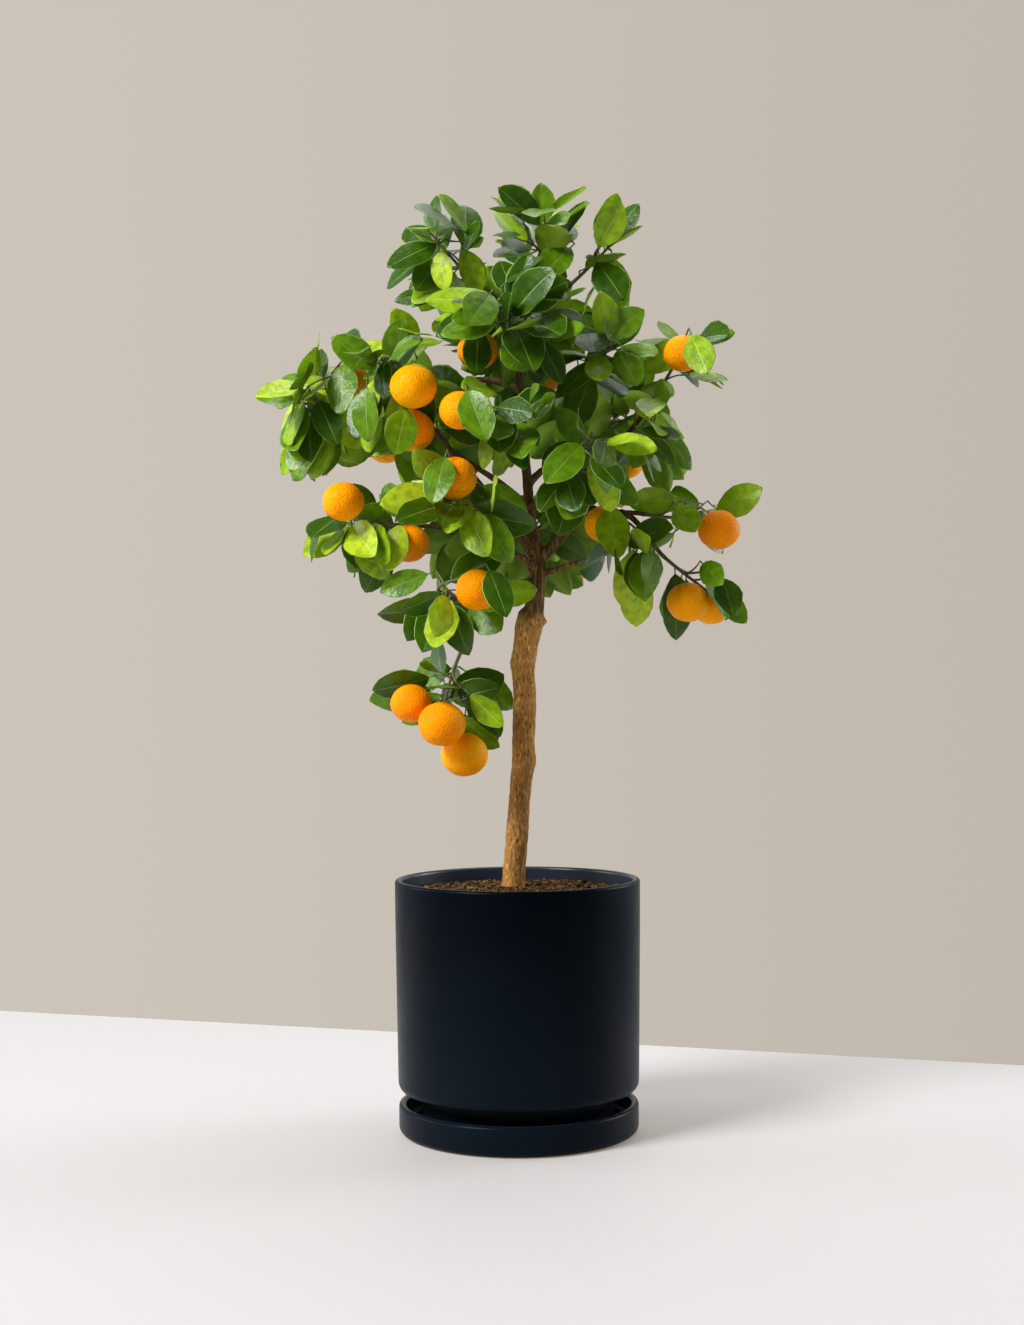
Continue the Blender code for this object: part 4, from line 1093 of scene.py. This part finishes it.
def leafFinishes():
    # tops from deep to young, two undersides, the midrib and the pale rim, a painted edge highlight
    finishes = []
    for k, colour in enumerate(leaf["tops"]):
        top = Finish("leafTop%d" % k, Roughness=0.30, Specular_IOR_Level=0.30)
        dark = tuple(c * 0.62 for c in colour)
        top.set(Base_Color=top.blend(top.noise(150.0, 4.0).step(0.36, 0.60), dark, colour))
        top.relief(top.noise(230.0, 3.0), 0.40, 0.0014)
        finishes.append(top.glowThrough(leaf["through"], leaf["glow"][k]))
    for k, colour in enumerate(leaf["undersides"]):
        under = Finish("leafUnderside%d" % k, Base_Color=colour, Roughness=0.62,
                       Specular_IOR_Level=0.25)
        under.relief(under.noise(260.0, 2.0), 0.2, 0.001)
        finishes.append(under.glowThrough(leaf["through"], leaf["underGlow"]))
    for name in ("rib", "ribYoung", "rim"):
        finishes.append(Finish("leaf" + name.capitalize(), Base_Color=leaf[name], Roughness=0.45))
    return finishes


def leafTemplate():
    # faces of one leaf: rows of top points, a middle row below, and a pole at each end;
    # returns the faces with what each one is: 0 blade, 1 rib, 2 rim, 3 underside
    rows, columns = len(leaf["along"]), len(leaf["across"])
    top = np.arange(rows * columns).reshape(rows, columns)
    keel = rows * columns + np.arange(rows)
    base, tip = rows * columns + rows, rows * columns + rows + 1
    # the rim strips at both edges carry the painted edge highlight
    part = [2, 0, 1, 0, 2]
    faces, kinds = [], []
    for c in range(columns - 1):
        strip = [[base, top[0, c + 1], top[0, c]]]
        strip += [[top[r, c], top[r, c + 1], top[r + 1, c + 1], top[r + 1, c]] for r in range(rows - 1)]
        strip += [[top[-1, c], top[-1, c + 1], tip]]
        faces += strip
        kinds += [part[c]] * len(strip)
    for edge, flip in ((0, False), (columns - 1, True)):
        strip = [[base, top[0, edge], keel[0]]]
        strip += [[top[r, edge], top[r + 1, edge], keel[r + 1], keel[r]] for r in range(rows - 1)]
        strip += [[top[-1, edge], tip, keel[-1]]]
        faces += [face[::-1] for face in strip] if flip else strip
        kinds += [3] * len(strip)
    return faces, np.array(kinds)


def leafPoints(blades, luck):
    # a point at share a of the length and b of the half-width lies at
    # root + along * a + across * b * half(a) + facing * (fold * |b| - curl * b^2 - sag * a^2
    # + waves), turned round the leaf's length by twist * a
    count = len(blades.length)
    stalk = growth["stalk"]
    length = (blades.length - stalk)[:, None, None]
    half = (blades.width / 2)[:, None, None]
    a = np.array(leaf["along"])[None, :, None]
    b = np.array(leaf["across"])[None, None, :]
    single = (count, 1, 1)
    uneven = luck.uniform(-leaf["uneven"], leaf["uneven"], (count, len(leaf["half"]), 1))
    outline = np.array(leaf["half"])[None, :, None] * (1 + uneven)
    sag = luck.uniform(*leaf["sag"], single)
    fold = luck.uniform(*leaf["fold"], single)
    curl = luck.uniform(*leaf["curl"], single)
    wave = luck.uniform(0, 2 * math.pi, single)
    twists = luck.uniform(-leaf["twist"], leaf["twist"], single) * a

    def lifted(a, b, outline):
        wide = np.abs(b) * outline * half
        return (fold * wide - curl * wide ** 2 / half - sag * a * a * length
                + leaf["waves"] * half * b * b * np.sin(wave + 7.0 * a * np.sign(b + 1e-9)))

    def laid(a, b, outline, lift, twist):
        wide = b * outline * half
        start = blades.root[:, None, None] + stalk * blades.along[:, None, None]
        return (start + (a * length)[..., None] * blades.along[:, None, None]
                + (wide * np.cos(twist))[..., None] * blades.across[:, None, None]
                + (lift + wide * np.sin(twist))[..., None] * blades.facing[:, None, None])

    thickness = leaf["thick"] * (1 - np.abs(b))
    top = laid(a + 0 * b, b, outline, lifted(a, b, outline) + thickness, twists)
    middle = np.zeros((1, 1, 1))
    keel = laid(a, middle, outline, lifted(a, middle, outline) - leaf["thick"], twists)
    ends = [laid(np.full((1, 1, 1), e), middle, np.ones((1, 1, 1)), -sag * e * length,
                 np.zeros(single)) for e in (0.0, 1.0)]
    return np.concatenate([top.reshape(count, -1, 3), keel.reshape(count, -1, 3)]
                          + [e.reshape(count, -1, 3) for e in ends], axis=1)


def makeLeaves(crown):
    luck = np.random.RandomState(19)
    blades = stack([b for mass in crown for b in mass.leaves])
    count = len(blades.length)
    most = 100               # more than the sprays of any mass
    sprays = np.concatenate([np.array(m.sprays) + most * k for k, m in enumerate(crown)])
    # tones lighter towards the sides of the crown, as painted light; a spray shares its tone, with some
    # leaves of their own
    edge = np.clip(np.abs(blades.root[:, 0]) / leaf["sideLightFrom"], 0, 1) - 0.5
    sharing = luck.uniform(size=count) < leaf["shared"]
    chance = np.where(sharing, luck.uniform(size=most * len(crown))[sprays],
                      luck.uniform(size=count))
    tone = np.searchsorted(np.cumsum(leaf["tones"])[:-1], chance + leaf["sideLightShift"] * edge)
    points = leafPoints(blades, luck)
    faces, part = leafTemplate()
    each = points.shape[1]
    allFaces = [[c + each * k for c in face] for k in range(count) for face in faces]
    # finishes: tops 0 to 3, undersides 4 and 5, ribs 6 and 7, rim 8, a painted edge highlight
    young = tone > 1
    kindOf = np.stack([tone, np.where(young, 7, 6), np.full(count, 8), np.where(young, 5, 4)],
                      axis=1)
    kinds = kindOf[:, part].reshape(-1)
    item = makePiece("leafBlades", points.reshape(-1, 3), allFaces, leafFinishes(), kinds)
    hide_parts(*[n + "_foliage" for n in masses])
    print("leaves", count, "triangles", sum(len(f) - 2 for f in allFaces))


# Twigs.
twigLook = {
    "bark": (0.120, 0.115, 0.042), "stalk": (0.090, 0.160, 0.030), "sides": 6,
    # radii of a leaf's stalk from twig to blade, its sides, and how far it runs into the blade
    "stalkRadii": (0.8, 0.6, 0.65), "stalkSides": 4, "stalkInto": 1.5,
}


def makeTwigs(crown):
    # twigs, leaf stalks and fruit stalks
    look = twigLook
    young = Finish("twigBark", Base_Color=look["bark"], Roughness=0.7)
    green = Finish("leafStalk", Base_Color=look["stalk"], Roughness=0.5)
    twiggy = Joined()
    for mass in crown:
        for path, foot, tip in mass.twigs:
            path = evenPath(path, growth["step"])
            radii = np.linspace(foot, tip, len(path))
            twiggy.addTube(path, radii, look["sides"], 0)
        for blade in mass.leaves:
            root, along = blade.root[0], blade.along[0]
            end = root + along * (growth["stalk"] + look["stalkInto"])
            path = np.array([root, (root + end) / 2, end])
            twiggy.addTube(path, look["stalkRadii"], look["stalkSides"], 1)
    item = twiggy.piece("twigs", [young, green])
    print("twigs", sum(len(m.twigs) for m in crown))


# Fruit and calyxes.
fruitLook = {
    "flat": 0.93, "rows": 22, "columns": 32,
    # depth of the dimple at the stalk, how far both dimples spread in radians, and of the lobes
    "dimple": 0.055, "spread": (0.30, 0.22), "lobes": 0.012,
    "skins": [(1.0, 0.365, 0.000), (1.0, 0.410, 0.000), (1.0, 0.325, 0.000)],
    # the calyx: how far out its points and the notches between them reach, and its place
    "calyx": (0.120, 0.210, 0.040), "calyxReach": (4.2, 2.3), "calyxAt": 0.945,
}


def skinFinish(k, colour):
    # waxy orange peel with oil-gland pits
    skin = Finish("peel%d" % k, Metallic=0.0, Specular_IOR_Level=0.06)
    patch = skin.noise(38.0, 2.0)
    deep = tuple(c * f for c, f in zip(colour, (1.0, 0.82, 0.8)))
    skin.set(Base_Color=skin.blend(patch.step(0.35, 0.70), colour, deep),
             Roughness=0.40 + (skin.noise(300.0) - 0.5) * 0.10)
    skin.set(Subsurface_Weight=0.12, Subsurface_Scale=0.004)
    skin.shader.inputs["Subsurface Radius"].default_value = (1.0, 0.45, 0.1)
    return skin.relief(skin.cells(560.0).step(0.0, 0.55), 0.50, 0.0016)


def makeFruit(crown):
    # flattened ball: its radius, less a dimple round the stalk and half of one at the far end,
    # each falling off with the square of the angle, times one plus five shallow lobes round it
    look = fruitLook
    rows, columns = look["rows"], look["columns"]
    luck = np.random.RandomState(29)
    balls, caps = Joined(), Joined()
    polar, angle = ballAngles(rows, columns)
    near, far = look["spread"]
    dent = 1 - look["dimple"] * (np.exp(-(polar / near) ** 2)
                                 + 0.5 * np.exp(-((math.pi - polar) / far) ** 2))
    faces = gridFaces(rows, columns)[:, ::-1].tolist()
    first, last = rows * columns, rows * columns + 1
    for k in range(columns):
        n = (k + 1) % columns
        faces.append([first, k, n])
        faces.append([last, (rows - 1) * columns + n, (rows - 1) * columns + k])
    for mass in crown:
        for centre, radius, stalkWay in mass.tops:
            side = unit(np.cross(stalkWay, (0.2, 0.9, 0.1)))
            across = np.cross(stalkWay, side)
            lobes = 1 + look["lobes"] * np.sin(5 * angle + luck.uniform(0, 6)) * np.sin(polar)
            reach = radius * dent * lobes
            shape = (reach * np.cos(polar) * np.ones_like(angle))[..., None] * stalkWay
            shape = shape + (reach * np.sin(polar) * np.cos(angle))[..., None] * side
            shape = shape + (reach * np.sin(polar) * np.sin(angle))[..., None] * across
            poles = np.array([stalkWay * radius * dent[0, 0], -stalkWay * radius * dent[-1, 0]])
            shape = np.vstack([shape.reshape(-1, 3), poles])
            shape[:, 2] *= look["flat"]
            balls.add(centre + shape, faces, luck.randint(0, 3))
            out = stalkWay * (1, 1, look["flat"]) * radius * look["calyxAt"]
            addCalyx(caps, centre, out, side, across)
    skins = [skinFinish(k, c) for k, c in enumerate(look["skins"])]
    balls.piece("fruit", skins)
    green = Finish("calyxGreen", Base_Color=look["calyx"], Roughness=0.6)
    caps.piece("calyxes", [green], sharp=50)
    print("fruit", len(balls.points))


def addCalyx(caps, centre, out, side, across):
    # a five-pointed green star on the fruit, thickest where the stalk joins
    angle = np.arange(10) * math.pi / 5
    reach = np.where(np.arange(10) % 2 == 0, *fruitLook["calyxReach"])[:, None]
    star = np.cos(angle)[:, None] * side + np.sin(angle)[:, None] * across
    way = unit(out)
    rim = star * reach - way * 0.15 * reach
    neck = star * 1.3 + way * 1.4
    points = np.vstack([rim, neck, [way * 1.7, -way * 0.9]]) + centre + out
    ring = [(k, (k + 1) % 10) for k in range(10)]
    faces = [[k, n, 10 + n, 10 + k] for k, n in ring]
    faces += [[10 + k, 10 + n, 20] for k, n in ring] + [[21, n, k] for k, n in ring]
    caps.add(points, faces)


# Flower buds.
budLook = {
    "white": (0.72, 0.76, 0.55), "green": (0.24, 0.34, 0.09), "rows": 5, "columns": 8,
    # share of the twig tips, buds on each, length, half-width, and length of their stalks
    "share": 0.11, "count": (2, 5), "length": (3.2, 5.6), "width": (1.5, 2.2),
    "stalk": (2.0, 5.0),
}


def makeBuds(crown):
    # small closed buds in twos to fours at some of the twig tips; a bud is an egg: along it
    # length / 2 * (1 - cos of the angle from its foot), round it width * sin of that angle
    look = budLook
    luck = np.random.RandomState(31)
    buds = Joined()
    rows, columns = look["rows"], look["columns"]
    polar, angle = ballAngles(rows, columns)
    faces = gridFaces(rows, columns)[:, ::-1].tolist()
    faces.append(list(range(columns)))
    faces.append([(rows - 1) * columns + k for k in range(columns)][::-1])
    for mass in crown:
        for tip, heading in mass.ends:
            if luck.uniform() > look["share"]:
                continue
            for _ in range(luck.randint(*look["count"])):
                way = unit(heading + luck.uniform(-0.9, 0.9, 3) + 0.3 * upward)
                length, width = luck.uniform(*look["length"]), luck.uniform(*look["width"])
                side = unit(np.cross(way, (0.3, 0.2, 0.9)))
                across = np.cross(way, side)
                start = tip + way * luck.uniform(*look["stalk"])
                rise = (1 - np.cos(polar)) * length / 2 * np.ones_like(angle)
                shape = (start + rise[..., None] * way
                         + (np.sin(polar) * np.cos(angle) * width)[..., None] * side
                         + (np.sin(polar) * np.sin(angle) * width)[..., None] * across)
                if not ownSpace(shape.reshape(-1, 3), mass.own, 1.15).all():
                    continue
                buds.add(shape, [f[::-1] for f in faces], luck.randint(0, 3) // 2)
                buds.addTube(np.array([tip - heading, start + way * 0.5]), (0.5, 0.5), 4, 1)
    white = Finish("budWhite", Base_Color=look["white"], Roughness=0.5)
    green = Finish("budGreen", Base_Color=look["green"], Roughness=0.5)
    buds.piece("buds", [white, green])


# Studio.
studio = {
    "floor": (0.490, 0.482, 0.496), "floorGlow": (0.150, 0.120, 0.085),
    # in metres: how far back the floor ends behind the pot, its slope there, and its half-size
    "floorLine": (0.409, 0.3186), "floorHalf": 4.0,
    "wall": (0.610, 0.556, 0.487), "wallRight": (0.532, 0.483, 0.421),
    "sides": (0.44, 0.54, 0.66), "front": (0.10, 0.11, 0.12), "overhead": (0.10, 0.10, 0.10),
    # degrees up, radians round the view, focal length and height of the picture in its pixels
    "cameraAt": (-3.35, -1629.0, 387.7), "pitch": 0.438, "roll": 0.0072, "focal": 1897.0,
    "pictureHeight": 1325.0,
    # where each light stands, its width and its power; all aim at this height over the pot
    "lightsAim": 430.0,
    "lights": {"key": ((-2720, -2080, 3040), 1440, 250), "left": ((-3040, 800, 1440), 1440, 28),
               "right": ((1800, 700, 900), 900, 19), "back": ((200, 700, 2200), 1400, 19)},
}


def makeStudio():
    # a pale floor that ends where the photo's wall meets it
    back, slope = studio["floorLine"]
    half = studio["floorHalf"]
    corners = [(-half, back + half * slope, 0.0), (-half, -half, 0.0), (half, -half, 0.0),
               (half, back - half * slope, 0.0)]
    mesh = bpy.data.meshes.new("floor")
    mesh.from_pydata(corners, [], [[0, 1, 2, 3]])
    floorFinish = Finish("paleFloor", Base_Color=studio["floor"], Roughness=0.6,
                         Emission_Color=studio["floorGlow"], Emission_Strength=1.0)
    mesh.materials.append(floorFinish.material)
    floor = bpy.data.objects.new("floor", mesh)
    bpy.context.scene.collection.objects.link(floor)
    # the wall behind, cool daylight at the sides, darker in front, overhead and underfoot
    world = bpy.data.worlds.new("room")
    world.use_nodes = True
    graph = Graph(world.node_tree)
    toward = graph.node("ShaderNodeTexCoord", {}, {}, "Generated")
    rise = graph.node("ShaderNodeSeparateXYZ", {}, {"Vector": toward}, "Z").math("ABSOLUTE")
    behind = graph.node("ShaderNodeSeparateXYZ", {}, {"Vector": toward}, "Y")
    room = graph.blend(behind.step(-0.55, 0.15), studio["front"], studio["sides"])
    room = graph.blend(rise.step(0.42, 0.85), room, studio["overhead"])
    side = graph.node("ShaderNodeSeparateXYZ", {}, {"Vector": toward}, "X")
    wall = graph.blend(side.step(-0.32, 0.32), studio["wall"], studio["wallRight"])
    graph.feed(world.node_tree.nodes["Background"].inputs["Color"],
               graph.blend(behind.step(0.75, 0.88), room, wall))
    bpy.context.scene.world = world
    for name, (place, width, power) in studio["lights"].items():
        light = bpy.data.lights.new(name, "AREA")
        light.size = width * mm
        light.energy = power
        lamp = bpy.data.objects.new(name, light)
        lamp.location = [c * mm for c in place]
        aim = unit(studio["lightsAim"] * upward - np.array(place, float))
        yaw = math.atan2(-aim[0], aim[1])
        lamp.rotation_euler = (math.acos(-aim[2]), 0.0, yaw)
        bpy.context.scene.collection.objects.link(lamp)


def makeCamera():
    lens = bpy.data.cameras.new("camera")
    lens.sensor_width = 36.0
    lens.lens = studio["focal"] / studio["pictureHeight"] * lens.sensor_width
    lens.clip_start = 0.02
    camera = bpy.data.objects.new("camera", lens)
    camera.location = [c * mm for c in studio["cameraAt"]]
    camera.rotation_mode = "XYZ"
    camera.rotation_euler = (math.radians(90 + studio["pitch"]), studio["roll"], 0.0)
    bpy.context.scene.collection.objects.link(camera)
    bpy.context.scene.camera = camera
    bpy.context.scene.view_settings.view_transform = "Standard"


makeCamera()
makeStudio()
glazes = glazeFinish()
makePot(glazes)
makeSaucer(glazes)
print("pot and saucer done")
makeSoil()
print("soil done")
limbs = allLimbs()
bark = barkFinish()
makeTrunk(limbs, bark)
makeBoughs(limbs, bark)
print("wood done")
crown = [Mass(name, limbs).grow() for name in masses]
makeLeaves(crown)
makeTwigs(crown)
makeFruit(crown)
makeBuds(crown)
print("crown done")
